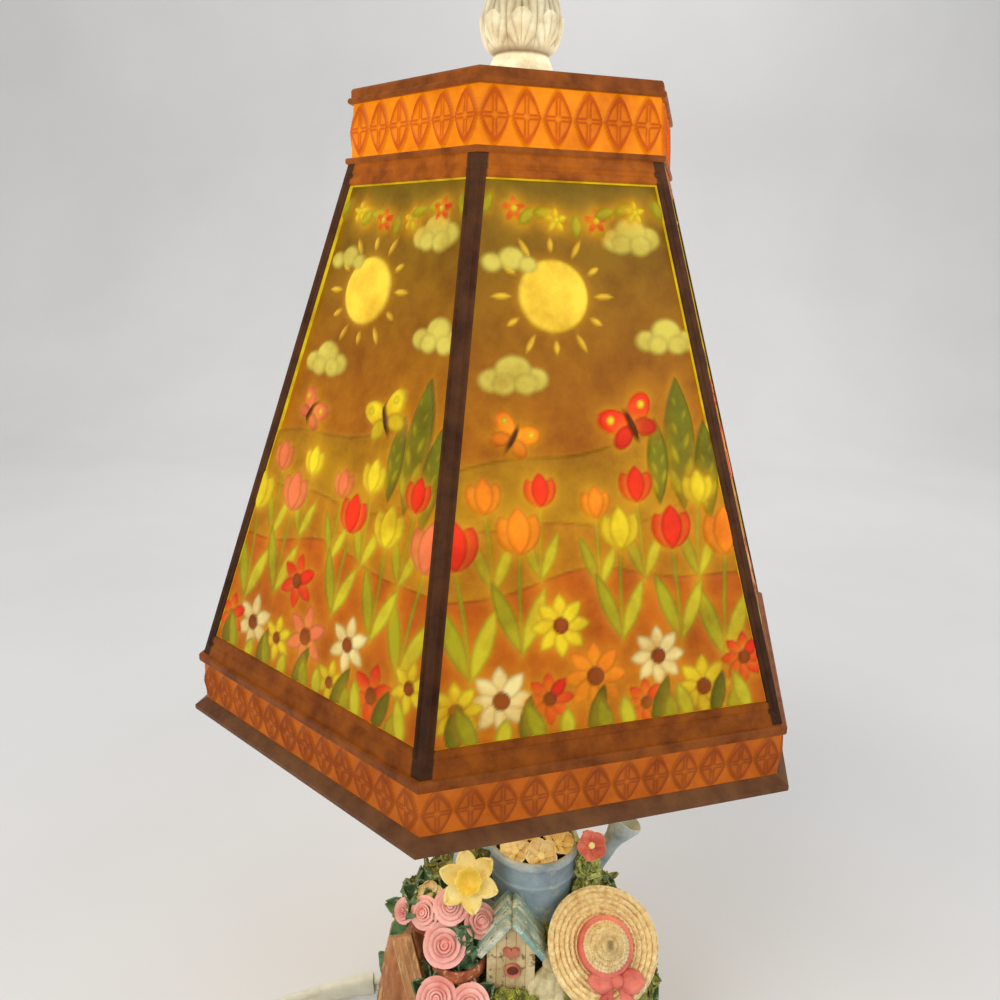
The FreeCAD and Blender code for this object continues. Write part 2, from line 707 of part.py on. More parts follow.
def bulb_glass():
    """A round bulb on a narrowing neck."""
    neck = bulb_foot() + TOUCH + BULB_BASE_HEIGHT
    profile = [(BULB_NECK_RADIUS, neck)]
    for k in range(8):
        angle = math.radians(-45 + k * 18)
        profile.append((BULB_RADIUS * math.cos(angle), BULB_CENTRE + BULB_RADIUS * math.sin(angle)))
    return faceted(profile, 24)


# Base
def mound_form():
    """Outer form of the base: plinth, mound and the neck round the turning hub."""
    outline = [
        (BASE_RADIUS - 1.5, BASE_FOOT),
        (BASE_RADIUS, BASE_FOOT + 2),
        (BASE_RADIUS, PLINTH_TOP - 2),
        (BASE_RADIUS - 3, PLINTH_TOP),
        (BASE_RADIUS - 4, 30.0),
        (BASE_RADIUS - 7, 50.0),
        (BASE_RADIUS - 10, CAVITY_TOP + 2),
        (BASE_RADIUS - 17, 73.0),
        (BASE_RADIUS - 27, 79.0),
    ]
    rings = [even_ring(radius, z, MOUND_FACETS, MOUND_CENTRE) for radius, z in outline]
    neck = faceted([(NECK_RADIUS + 5, 70.0), (NECK_RADIUS, NECK_TOP)], MOUND_FACETS)
    return stacked(rings).fuse(neck)


def exit_boss():
    depth = CORD_THICK + 8
    height = CORD_WIDTH + 5
    return Part.makeBox(12, depth, height, V(BOSS_FACE, EXIT_Y - depth / 2, EXIT_HEIGHT - height / 2 + 0.6))


def screw_spots():
    centre = V(MOUND_CENTRE[0], MOUND_CENTRE[1], 0)
    return [centre + polar(SCREW_CIRCLE, 45 + k * 360.0 / SCREWS) for k in range(SCREWS)]


def garden_mound():
    """Hollow cast base with a stepped cavity, screw bosses and a bore for the hub."""
    cavity_low = BASE_FOOT + PLATE_THICK
    shell = mound_form().fuse(exit_boss())
    seat_radius = PLATE_RADIUS + TOUCH + 1.5
    plate_seat = faceted([(seat_radius, BASE_FOOT), (seat_radius, cavity_low)], MOUND_FACETS, MOUND_CENTRE)
    lower = faceted([(CAVITY_RADIUS, BASE_FOOT), (CAVITY_RADIUS, CHASSIS_TOP)], MOUND_FACETS, MOUND_CENTRE)
    upper = faceted([
        (CAVITY_UPPER_RADIUS, CHASSIS_TOP),
        (CAVITY_UPPER_RADIUS - 3, CAVITY_TOP),
    ], MOUND_FACETS, MOUND_CENTRE)
    shell = shell.cut(plate_seat).cut(lower).cut(upper)
    shell = shell.cut(post(HUB_RADIUS + NECK_GAP, NECK_TOP - CAVITY_TOP + 2, CAVITY_TOP - 1, facets=24))
    bosses = []
    height = CHASSIS_TOP - CHASSIS_THICK - cavity_low
    for spot in screw_spots():
        boss = post(SCREW_BOSS_RADIUS, height, cavity_low, spot.x, spot.y, 12)
        hole = post(SCREW_RADIUS + TOUCH / 2, SCREW_DEPTH, cavity_low, spot.x, spot.y, 12)
        web = prism([spot + V(0, 0, cavity_low) + p for p in boss_web(spot)], UP * height)
        bosses.append(boss.fuse(web).cut(hole))
    shell = shell.fuse(bosses)
    return shell.cut(bushing_form(TOUCH / 2)).removeSplitter()


def boss_web(spot):
    """Corners of the rib that ties a screw boss to the wall."""
    out = (spot - V(MOUND_CENTRE[0], MOUND_CENTRE[1], 0)).normalize()
    side = UP.cross(out) * 2.0
    reach = CAVITY_RADIUS + 0.5 - SCREW_CIRCLE
    return [-side, out * reach - side, out * reach + side, side]


def base_plate():
    """Round steel plate under the base."""
    top = BASE_FOOT + PLATE_THICK
    plate = faceted([(PLATE_RADIUS, BASE_FOOT), (PLATE_RADIUS, top)], MOUND_FACETS, MOUND_CENTRE)
    for spot in screw_spots():
        plate = plate.cut(post(SCREW_RADIUS + TOUCH, PLATE_THICK, BASE_FOOT, spot.x, spot.y, 12))
    return plate


def screw(head_foot, length, x, y):
    """A screw with its round head below its shank."""
    seat = head_foot + SCREW_HEAD_HEIGHT
    return faceted([
        (SCREW_HEAD_RADIUS, head_foot),
        (SCREW_HEAD_RADIUS, seat),
        (SCREW_RADIUS, seat),
        (SCREW_RADIUS, seat + length),
    ], 12, (x, y))


def plate_screws():
    """Screws through the plate into the bosses, their heads under the plate."""
    screws = []
    for spot in screw_spots():
        screws.append(screw(BASE_FOOT - SCREW_HEAD_HEIGHT, PLATE_THICK + SCREW_DEPTH - 1, spot.x, spot.y))
    return group(screws)


def rubber_feet():
    feet = []
    for k in range(4):
        spot = V(MOUND_CENTRE[0], MOUND_CENTRE[1], 0) + polar(FOOT_CIRCLE, k * 90.0)
        feet.append(faceted([(FOOT_RADIUS - 0.8, 0), (FOOT_RADIUS, BASE_FOOT)], 16, (spot.x, spot.y)))
    return group(feet)


def chassis_plate():
    """Steel plate against the cavity's step that carries the pipe and the motor."""
    foot = CHASSIS_TOP - CHASSIS_THICK
    radius = CAVITY_RADIUS - 0.5
    plate = faceted([(radius, foot), (radius, CHASSIS_TOP - TOUCH)], MOUND_FACETS, MOUND_CENTRE)
    plate = plate.cut(post(PIPE_RADIUS + TOUCH / 4, CHASSIS_THICK, foot, facets=24))
    motor = motor_spot()
    plate = plate.cut(post(SHAFT_BOSS_RADIUS + TOUCH, CHASSIS_THICK, foot, motor.x, motor.y))
    for side in (-1, 1):
        plate = plate.cut(post(SCREW_RADIUS + TOUCH / 2, CHASSIS_THICK, foot,
                               motor.x + side * MOTOR_EAR_SPACING / 2, motor.y, 12))
    return plate


def motor_screws():
    """Screws from below through the motor's ears into the chassis plate."""
    motor = motor_spot()
    head_foot = CHASSIS_TOP - CHASSIS_THICK - MOTOR_EAR_THICK - SCREW_HEAD_HEIGHT
    screws = []
    for side in (-1, 1):
        x = motor.x + side * MOTOR_EAR_SPACING / 2
        screws.append(screw(head_foot, MOTOR_EAR_THICK + CHASSIS_THICK, x, motor.y))
    return group(screws)


def hub_cover():
    """Brass ring on top of the neck, clear of the turning hub."""
    return faceted([
        (HUB_RADIUS + COVER_GAP, NECK_TOP),
        (COVER_RADIUS, NECK_TOP),
        (COVER_RADIUS - 2, NECK_TOP + COVER_THICK),
        (HUB_RADIUS + COVER_GAP, NECK_TOP + COVER_THICK),
    ], MOUND_FACETS, hollow=True)


# Garden pieces on the base
def tree_stump():
    """A flared, fluted stump that carries the leaf pot, on the left of the mound."""
    rise = STUMP_TOP - STUMP.z
    shares = [(1.0, 0.0), (0.89, 0.266), (0.804, 0.484), (0.652, 0.766), (0.522, 0.953), (0.391, 1.0)]
    return stacked([lobed_ring(STUMP_RADIUS * share, STUMP.z + rise * height, STUMP_FLUTES, 0.94, STUMP, 8.0)
                    for share, height in shares])


def slanted_board():
    """A thin board that leans on the stump's front."""
    board = Part.makeBox(6.5, 2.6, 44.0, V(-3.2, -1.3, 0))
    board.rotate(V(0, 0, 0), Y_AXIS, -14)
    board.rotate(V(0, 0, 0), X_AXIS, -8)
    board.translate(BOARD)
    return board


def tapered_pot(foot_radius, rim_radius, height, rim_height):
    """A flower pot on its own foot: tapered wall, thicker rim and a hollow."""
    wall = 1.2
    return faceted([
        (foot_radius, 0),
        (rim_radius - wall, height - rim_height),
        (rim_radius, height - rim_height),
        (rim_radius + 0.4, height),
        (rim_radius - wall, height),
        (rim_radius - wall - 0.6, height - rim_height),
    ], 20)


def leaf_pot():
    return placed(tapered_pot(4.8, 7.0, LEAF_POT_HEIGHT, 3.4), LEAF_POT, (0.14, -0.22, 0.96))


def flower(petals, petal_length, petal_width, heart_radius, cup):
    """An open flower on the XY plane, its heart along +Z."""
    solids = [faceted([(heart_radius, 0), (heart_radius * 1.15, cup)], 12)]
    for k in range(petals):
        petal = [V(0, 0, 0), V(petal_length * 0.55, -petal_width / 2, 0.3), V(petal_length, 0, 0.9),
                 V(petal_length * 0.55, petal_width / 2, 0.3)]
        blade = prism([V(p.x, p.y, 0) for p in petal], UP * 1.3)
        blade.rotate(V(0, 0, 0), Y_AXIS, -8)
        blade.rotate(V(0, 0, 0), UP, k * 360.0 / petals)
        solids.append(blade)
    return solids[0].fuse(solids[1:])


def daffodil():
    """Six pointed petals round a trumpet, on a stout stem that stands on the mound."""
    bloom = flower(6, 9.2, 7.0, 2.9, 4.6).cut(faceted([(1.6, 1.6), (2.5, 5.0)], 12))
    bloom = placed(bloom, DAFFODIL, FACING, 12)
    corners = [(-2.4, -31.0), (2.2, -31.0), (1.8, 1.0), (-1.6, 1.0)]
    stem = prism([DAFFODIL + V(x, -1.0, z) for x, z in corners], V(0, 3.4, 0))
    return bloom.fuse(stem)


def watering_can():
    """Open blue can with a rolled rim."""
    wall = 1.4
    low = CAN_RADIUS - 3.5
    return faceted([
        (low, CAN_FOOT.z),
        (CAN_RADIUS, CAN_TOP - 3),
        (CAN_RADIUS + 1.0, CAN_TOP - 2.4),
        (CAN_RADIUS + 1.0, CAN_TOP - 0.6),
        (CAN_RADIUS, CAN_TOP),
        (CAN_RADIUS - wall, CAN_TOP),
        (CAN_RADIUS - wall - 0.6, CAN_TOP - CAN_DEPTH),
    ], 24, CAN_FOOT)


def can_spout():
    """Rising spout with a flared mouth on the can's right."""
    axis = V(0.5, 0.0, 0.87)
    spout = faceted([(3.4, 0), (2.6, 24), (5.2, 33), (5.2, 34.5)], 16)
    return placed(spout, CAN_FOOT + V(CAN_RADIUS - 1.1, 1.5, 18.0), axis)


def can_handle():
    """Flat strap from the rim to the can's lower left."""
    outer = [(2.1, -4.0), (-6.9, -2.0), (-12.4, -8.0), (-11.4, -18.0), (3.1, -30.0)]
    inner = [(3.1, -26.5), (-8.9, -17.0), (-9.7, -9.0), (-5.9, -4.7), (2.1, -6.5)]
    side = V(CAN_FOOT.x - CAN_RADIUS, CAN_FOOT.y - 2.0, CAN_TOP)
    return prism([side + V(x, 0, z) for x, z in outer + inner], V(0, 4.0, 0))


def can_blossoms():
    """Cream blossoms that fill the can's mouth."""
    spots = [(-5.5, -6.5), (2.0, -8.5), (7.5, -2.5), (-1.5, 1.5), (5.0, 5.5), (-6.0, 4.5)]
    outline = [(2.4, 0.2 - CAN_DEPTH), (4.0, -1.0), (3.4, 1.2), (1.2, 1.8)]
    blooms = []
    for k, (x, y) in enumerate(spots):
        centre = CAN_FOOT + V(x, y, 0)
        rings = [lobed_ring(radius, CAN_TOP + z, 5, 0.72, centre, 17.0 * k) for radius, z in outline]
        blooms.append(stacked(rings))
    return group(blooms)


def ivy_column():
    """Leafy column on the can's right."""
    outline = [(6.0, 4.0, 1.9), (5.6, 18.0, 2.9), (4.6, 31.0, 3.9), (3.4, 42.0, 3.4), (1.2, 47.0, 2.9)]
    foot = CAN_FOOT + V(CAN_RADIUS, -3.5, 0)
    return stacked([lobed_ring(radius, foot.z + z, 7, 0.8, foot + V(x, 0, 0)) for radius, z, x in outline])


def ball(radius, centre, facing=UP, lobes=6, valley=0.88):
    """A lobed bud, flat at its back, that points along its facing."""
    shares = [(0.75, -0.6), (1.0, -0.1), (0.85, 0.45), (0.4, 0.8)]
    rings = [lobed_ring(radius * share, radius * rise, lobes, valley) for share, rise in shares]
    return placed(stacked(rings), centre, facing)


def rose_pot():
    pot = tapered_pot(ROSE_POT_RADIUS - 2.6, ROSE_POT_RADIUS, ROSE_POT_HEIGHT, 4.2)
    pot.translate(ROSE_POT)
    return pot


def rose_blooms():
    """Roses in the pot and at its foot, a small pink bloom by the stump and a coral one on the ivy."""
    rim = ROSE_POT + V(0, 0, ROSE_POT_HEIGHT)
    stump_side = LEAF_POT + V(-6.0, -5.0, 8.5)
    ivy_top = CAN_FOOT + V(17.8, -7.6, 45.0)
    return group([
        ball(5.4, rim + V(-4.0, -4.0, 6.5), FACING),
        ball(4.4, rim + V(-2.5, 1.0, 16.0), FACING),
        ball(4.0, rim + V(-10.5, 2.0, 12.5), V(-0.4, -0.7, 0.6)),
        ball(4.2, rim + V(6.4, 0.5, 11.5), V(0.4, -0.7, 0.6)),
        ball(5.0, rim + V(-5.8, -11.5, -6.0), FACING),
        ball(5.0, rim + V(4.2, -12.5, -7.0), FACING),
        ball(3.2, stump_side, V(-0.5, -0.6, 0.6)),
        ball(3.6, ivy_top, FACING, 5, 0.7),
    ])


def leaf(length, width, position, axis, roll=0.0):
    """A pointed leaf with a raised rib that grows along its axis."""
    widest = length * 0.45
    outline = [V(0, 0, 0), V(width / 2, 0, widest), V(0, 0, length), V(-width / 2, 0, widest)]
    return placed(prism(outline, V(0, 1.4, 0)), position, axis, roll)


def leaf_clusters():
    """Rosette in the leaf pot and the leaves round the roses."""
    pot = LEAF_POT + V(1.0, -2.5, LEAF_POT_HEIGHT - 1.0)
    leaves = [leaf(9.5, 6.5, pot, polar(0.8, bearing, 0.7) + V(0, -0.25, 0), bearing)
              for bearing in range(0, 360, 60)]
    return leaves[0].fuse(leaves[1:] + [ball(4.2, pot + V(0, -1.0, 3.0), FACING)])


def rose_leaves():
    """Bushy leaves that fill the rose pot's mouth and spill to both sides."""
    top = ROSE_POT.z + ROSE_POT_HEIGHT
    middle = ROSE_POT + V(0, 1.0, 0)
    outline = [(-2.2, -4.0), (0.4, 1.5), (1.0, 6.0), (-3.2, 12.0)]
    return stacked([lobed_ring(ROSE_POT_RADIUS + wider, top + z, 8, 0.78, middle) for wider, z in outline])


def birdhouse():
    """Gabled box with a round door and a peg of a heart over it."""
    front = HOUSE.y - HOUSE_DEPTH / 2
    half = HOUSE_WIDTH / 2
    gable = [V(-half, front, 0), V(half, front, 0), V(half, front, HOUSE_EAVES), V(0, front, HOUSE_RIDGE),
             V(-half, front, HOUSE_EAVES)]
    house = prism([p + V(HOUSE.x, 0, HOUSE.z) for p in gable], V(0, HOUSE_DEPTH, 0))
    door = Part.makeCylinder(1.9, 3.0, V(HOUSE.x + 0.6, front, HOUSE.z + 12.5), Y_AXIS)
    heart = [V(0, 0, -2.2), V(2.3, 0, 0.4), V(1.2, 0, 1.8), V(0, 0, 0.9), V(-1.2, 0, 1.8), V(-2.3, 0, 0.4)]
    peg = prism([p + V(HOUSE.x, front, HOUSE.z + 19.0) for p in heart], V(0, -1.0, 0))
    return house.cut(door).fuse(peg)


def birdhouse_roof():
    """Two pitched boards that overhang the gable."""
    half = HOUSE_WIDTH / 2
    over = 3.0
    thick = 1.6
    pitch = math.atan2(HOUSE_RIDGE - HOUSE_EAVES, half)
    front = HOUSE.y - HOUSE_DEPTH / 2 - 2.0
    low_x = half + over * math.cos(pitch)
    low_z = HOUSE_EAVES - over * math.sin(pitch)
    lift = thick / math.cos(pitch)
    outline = [V(0, front, HOUSE_RIDGE), V(low_x, front, low_z), V(low_x, front, low_z + lift),
               V(0, front, HOUSE_RIDGE + lift), V(-low_x, front, low_z + lift), V(-low_x, front, low_z)]
    return prism([p + V(HOUSE.x, 0, HOUSE.z + TOUCH) for p in outline], V(0, HOUSE_DEPTH + 3.0, 0))


def moss_bush():
    """Low bush that fills the foot of the birdhouse."""
    outline = [(-1.5, 0.0), (0.0, 8.0), (-2.0, 16.0), (-7.0, 21.0)]
    return stacked([lobed_ring(MOSS_RADIUS + wider, MOSS.z + z, 9, 0.86, MOSS) for wider, z in outline])


def straw_hat():
    """Round straw hat: shallow brim and domed crown, leaning on the mound."""
    hat = faceted([
        (HAT_RADIUS * 0.3, -1.2),
        (HAT_RADIUS - 0.8, -0.6),
        (HAT_RADIUS, 0.4),
        (HAT_RADIUS - 0.8, 1.4),
        (CROWN_RADIUS, 1.2),
        (CROWN_RADIUS - 0.3, CROWN_HEIGHT * 0.45),
        (CROWN_RADIUS - 1.6, CROWN_HEIGHT * 0.8),
        (CROWN_RADIUS * 0.4, CROWN_HEIGHT),
    ], 24)
    return placed(hat, HAT, HAT_FACING)


def hat_ribbon():
    """Ribbon round the crown with a bow at its lower right."""
    inner = CROWN_RADIUS + TOUCH
    band = faceted([(inner, 1.6), (inner + 0.8, 1.6), (inner + 0.8, 4.2), (inner, 4.2)], 16, hollow=True)
    bow = []
    for side in (-1, 1):
        loop = [(0, -1.2), (side * 8.0, -3.8), (side * 9.0, 0), (side * 8.0, 3.2), (0, 1.2)]
        tail = [(0, 0), (side * 2.0, 0), (side * 6.0, -8.5), (side * 2.6, -9.0)]
        bow.append(prism([V(x, y, 0) for x, y in loop], UP * 2.6))
        bow.append(prism([V(x, y, 0) for x, y in tail], UP * 1.4))
    bow.append(faceted([(1.9, 0), (1.6, 3.2)], 10))
    knot = bow[0].fuse(bow[1:])
    knot.translate(V(3.0, -CROWN_RADIUS - 1.6, 1.6))
    return placed(band.fuse(knot), HAT, HAT_FACING, -8)


def garden_glove():
    """Folded glove between the birdhouse and the hat."""
    outline = [V(0, 0, 0), V(5.0, 0, -1.0), V(7.5, 0, 7.0), V(7.0, 0, 15.0), V(3.6, 0, 21.5), V(0.2, 0, 22.5),
               V(-1.6, 0, 16.0), V(-3.2, 0, 8.0)]
    palm = prism(outline, V(0, 4.5, 0))
    palm = palm.fuse(palm.copy().translated(V(3.5, -2.5, -3.5)))
    palm.translate(GLOVE)
    return palm


def mossy_rocks():
    """Mossy rocks under the hat, the roses and the glove, which fill the front of the mound."""
    rocks = []
    for centre, radius, top, turn in ((RIGHT_ROCK, RIGHT_ROCK_RADIUS, RIGHT_ROCK_TOP, 12.0),
                                      (LEFT_ROCK, LEFT_ROCK_RADIUS, LEFT_ROCK_TOP, 25.0)):
        rise = top - centre.z
        shares = [(1.0, 0.0), (1.0, 0.375), (0.926, 0.66), (0.76, 0.86), (0.58, 1.0)]
        rocks.append(stacked([lobed_ring(radius * share, centre.z + rise * height, 8, 0.93, centre, turn)
                              for share, height in shares]))
    return rocks[0].fuse(rocks[1])


# Mains cord
def cord_section(centre, along):
    """Flat section of the twin cord, on its edge, square to the direction."""
    side = UP.cross(along).normalize()
    up = along.cross(side).normalize()
    half = CORD_WIDTH / 2
    thick = CORD_THICK / 2
    corners = [(thick, -half), (thick, half), (-thick, half), (-thick, -half)]
    return closed([centre + side * a + up * b for a, b in corners])


def arc_between(start, tangent, end):
    """The arc that leaves start along the tangent and reaches end."""
    chord = end - start
    middle = (start + end) * 0.5
    along = chord.dot(tangent)
    if along > chord.Length * (1 - 1e-9):
        return Part.makeLine(start, end)
    corner = start + tangent * (chord.Length ** 2 / (2 * along))
    half = chord.Length / 2
    toward = corner - middle
    bend = math.atan2(toward.Length, half)
    through = middle + toward.normalize() * (half * math.tan(bend / 2))
    return Part.Arc(start, through, end).toShape()


def biarc(start, start_tangent, end, end_tangent):
    """Two arcs that join two points and keep both tangents."""
    v = end - start
    t = start_tangent + end_tangent
    a = 2 * (1 - start_tangent.dot(end_tangent))
    b = v.dot(t)
    reach = (-b + math.sqrt(b * b + a * v.dot(v))) / a
    joint = (start + end + (start_tangent - end_tangent) * reach) * 0.5
    middle_tangent = (joint - start - start_tangent * reach).normalize()
    return [arc_between(start, start_tangent, joint), arc_between(joint, middle_tangent, end)]


def rounded_path(points, label):
    """Straight runs joined by arcs as large as the runs allow."""
    points = [V(*p) for p in points]
    edges = []
    at = points[0]
    radii = []
    for before, corner, after in zip(points, points[1:], points[2:]):
        into = (corner - before).normalize()
        out = (after - corner).normalize()
        half = into.getAngle(out) / 2
        shorter = min((corner - before).Length, (after - corner).Length)
        radius = 0.45 * shorter / math.tan(half)
        radii.append(radius)
        start = corner - into * (0.45 * shorter)
        end = corner + out * (0.45 * shorter)
        edges.append(Part.makeLine(at, start))
        edges.append(arc_between(start, into, end))
        at = end
    edges.append(Part.makeLine(at, points[-1]))
    print(label, "arc radii:", [round(r, 1) for r in radii])
    return Part.Wire(edges)


def sweep(path, start, along):
    return path.makePipeShell([cord_section(start, along)], True, False)


EXIT_POINT = (BUSHING_INNER, EXIT_Y, EXIT_HEIGHT)
TABLE_LEVEL = CORD_WIDTH / 2
COIL_LEVEL = COIL_LIFT + CORD_WIDTH / 2
LEAD_POINTS = [
    EXIT_POINT,
    (-50.0, 15.0, EXIT_HEIGHT),
    (-66.0, 12.6, 4.6),
    (-84.0, 7.2, TABLE_LEVEL),
    (-103.0, -6.0, 3.6),
    (-115.0, -29.0, COIL_LEVEL),
    (COIL_CENTRE[0] - COIL_OUTER, -81.0, COIL_LEVEL),
    (COIL_CENTRE[0] - COIL_OUTER, COIL_CENTRE[1] + CORD_WIDTH, COIL_LEVEL),
]
SWITCH_RUN = (V(*LEAD_POINTS[5]), V(*LEAD_POINTS[6]))   # the run that passes straight through the switch


def coil_turning_point():
    """Quarter turns wound when the spiral reverses, half way up to the upper layer."""
    return COIL_IN_QUARTERS + COIL_CLIMB_QUARTERS / 2


def coil_inner():
    return COIL_OUTER - COIL_PITCH * coil_turning_point() / 4


def coil_point(quarter):
    """Middle of the wound cord after a number of quarter turns."""
    radius = coil_inner() + COIL_PITCH * abs(quarter - coil_turning_point()) / 4
    share = min(max((quarter - COIL_IN_QUARTERS) / COIL_CLIMB_QUARTERS, 0.0), 1.0)
    rise = COIL_LAYER * (3 * share ** 2 - 2 * share ** 3)
    flat = polar(radius, 180 + quarter * 90.0)
    return flat + V(COIL_CENTRE[0], COIL_CENTRE[1], COIL_LEVEL + rise)


def coil_quarters():
    return COIL_IN_QUARTERS + COIL_CLIMB_QUARTERS + COIL_OUT_QUARTERS


def coil_tangent(quarter):
    """Direction of the wound cord; its two ends run straight on from their neighbours."""
    if quarter == 0:
        return V(0, -1, 0)
    if quarter == coil_quarters():
        return polar(1.0, 180 + quarter * 90.0 + 90)
    step = 0.02
    return (coil_point(quarter + step) - coil_point(quarter - step)).normalize()


def coil_end():
    quarters = coil_quarters()
    return coil_point(quarters) + coil_tangent(quarters) * CORD_WIDTH


def cord_coil():
    """The put-away length, wound inwards in a lower layer and outwards in an upper one."""
    quarters = coil_quarters()
    start = coil_point(0) - coil_tangent(0) * CORD_WIDTH
    edges = [Part.makeLine(start, coil_point(0))]
    for k in range(quarters):
        edges += biarc(coil_point(k), coil_tangent(k), coil_point(k + 1), coil_tangent(k + 1))
    edges.append(Part.makeLine(coil_point(quarters), coil_end()))
    path = Part.Wire(edges)
    print("coil length", round(path.Length, 1), "least gap", round(coil_gap(), 2))
    return sweep(path, start, coil_tangent(0))


def coil_gap():
    """Least gap between two turns, measured on points of the wound line."""
    steps = 24
    total = coil_quarters() * steps
    points = [coil_point(k / steps) for k in range(total + 1)]
    least = 1e9
    for i in range(0, total, 3):
        for j in range(i + 2 * steps, total):
            gap = points[i] - points[j]
            beside = math.hypot(gap.x, gap.y) - CORD_THICK
            above = abs(gap.z) - CORD_WIDTH
            least = min(least, max(beside, above))
    return least


def tail_points():
    """From the coil down to the table and into the plug."""
    end = coil_end()
    x, y = end.x, end.y
    return [
        (x, y, end.z),
        (x + 17.0, y, end.z),
        (x + 36.0, y + 3.0, PLUG_HEIGHT / 2 + 1.0),
        (x + 54.0, y + 9.0, PLUG_HEIGHT / 2),
        (x + 70.0, y + 17.5, PLUG_HEIGHT / 2),
    ]


def cord_lead():
    """From the base, over the table and through the switch, to the coil."""
    path = rounded_path(LEAD_POINTS, "lead")
    first, second = V(*LEAD_POINTS[0]), V(*LEAD_POINTS[1])
    return sweep(path, first, (second - first).normalize()), path.Length


def cord_tail():
    points = tail_points()
    path = rounded_path(points, "tail")
    first, second = V(*points[0]), V(*points[1])
    return sweep(path, first, (second - first).normalize()), path.Length


def cord_slot(gap, depth, height_extra=0.0):
    """A rectangular prism along +X, as wide and high as the cord and its gap."""
    return Part.makeBox(depth, CORD_THICK + 2 * gap, CORD_WIDTH + 2 * gap + height_extra,
                        V(0, -CORD_THICK / 2 - gap, -CORD_WIDTH / 2 - gap))


def bushing_form(gap):
    """Body and flange of the bushing, larger by a gap all round where the wall takes it."""
    width = CORD_THICK + 2 * (BUSHING_WALL + gap)
    height = CORD_WIDTH + 2 * (BUSHING_WALL + gap)
    corner = V(BOSS_FACE, EXIT_Y - width / 2, EXIT_HEIGHT - height / 2)
    return Part.makeBox(BUSHING_LENGTH, width, height, corner)


def cord_bushing():
    """Rubber bushing with a flange outside the wall and a slot for the cord."""
    width = CORD_THICK + 4 * BUSHING_WALL
    height = CORD_WIDTH + 4.4
    corner = V(BOSS_FACE - BUSHING_FLANGE, EXIT_Y - width / 2, EXIT_HEIGHT - height / 2)
    flange = Part.makeBox(BUSHING_FLANGE, width, height, corner)
    slot = cord_slot(BUSHING_SLOT_GAP, BUSHING_LENGTH + BUSHING_FLANGE + 1)
    slot.translate(V(BOSS_FACE - BUSHING_FLANGE - 0.5, EXIT_Y, EXIT_HEIGHT))
    return bushing_form(0.0).fuse(flange).cut(slot).removeSplitter()


def at_switch(shape):
    """Move a shape made round the origin along +X to the switch on the cord."""
    start, end = SWITCH_RUN
    along = (end - start).normalize()
    shape.rotate(V(0, 0, 0), UP, math.degrees(math.atan2(along.y, along.x)))
    share = (V(SWITCH_CENTRE[0], SWITCH_CENTRE[1], 0) - V(start.x, start.y, 0)).dot(along)
    shape.translate(V(start.x, start.y, 0) + V(along.x, along.y, 0) * share)
    return shape


def rocker_pivot():
    return SWITCH_HEIGHT - 2.6


def switch_body():
    """Two-part inline switch housing with a well for its rocker."""
    chamfer = 2.2
    half = SWITCH_LENGTH / 2
    section = [(-SWITCH_WIDTH / 2, 0), (SWITCH_WIDTH / 2, 0), (SWITCH_WIDTH / 2, SWITCH_HEIGHT - chamfer),
               (SWITCH_WIDTH / 2 - chamfer, SWITCH_HEIGHT), (-SWITCH_WIDTH / 2 + chamfer, SWITCH_HEIGHT),
               (-SWITCH_WIDTH / 2, SWITCH_HEIGHT - chamfer)]
    body = prism([V(-half, a, b) for a, b in section], X_AXIS * SWITCH_LENGTH)
    ends = prism([V(-half, -SWITCH_WIDTH, SWITCH_HEIGHT + 1), V(-half, -SWITCH_WIDTH, 9.5),
                  V(-half + 7, -SWITCH_WIDTH, SWITCH_HEIGHT + 1)], Y_AXIS * (2 * SWITCH_WIDTH))
    body = body.cut(ends).cut(ends.mirror(V(0, 0, 0), X_AXIS))
    slot = cord_slot(SWITCH_SLOT_GAP, SWITCH_LENGTH + 2)
    slot.translate(V(-half - 1, 0, COIL_LEVEL))
    well_length = ROCKER_LENGTH + 2 * ROCKER_GAP
    well_width = ROCKER_WIDTH + 2 * ROCKER_GAP
    well = Part.makeBox(well_length, well_width, WELL_DEPTH,
                        V(-well_length / 2, -well_width / 2, SWITCH_HEIGHT - WELL_DEPTH))
    pin_start = V(0, -ROCKER_WIDTH / 2 - 2, rocker_pivot())
    pins = Part.makeCylinder(ROCKER_PIN + RUNNING, ROCKER_WIDTH + 4, pin_start, Y_AXIS)
    return at_switch(body.cut(slot).cut(well).cut(pins))


def switch_rocker():
    """Rocker with two stub pins, dished on top."""
    pivot = rocker_pivot()
    half = ROCKER_LENGTH / 2
    profile = [(-half, 1.4), (-half + 0.6, -0.4), (0, -1.9), (half - 0.6, -0.4),
               (half, 1.4), (half - 0.5, 3.6), (0, 2.6), (-half + 0.5, 3.6)]
    rocker = prism([V(x, -ROCKER_WIDTH / 2, pivot + z) for x, z in profile], Y_AXIS * ROCKER_WIDTH)
    pins = Part.makeCylinder(ROCKER_PIN, ROCKER_WIDTH + 3, V(0, -ROCKER_WIDTH / 2 - 1.5, pivot), Y_AXIS)
    return at_switch(rocker.fuse(pins))


def at_plug(shape):
    """Move a shape made along +X to the end of the cord."""
    points = tail_points()
    last, before = V(*points[-1]), V(*points[-2])
    along = last - before
    shape.rotate(V(0, 0, 0), UP, math.degrees(math.atan2(along.y, along.x)))
    shape.translate(V(last.x, last.y, 0))
    return shape


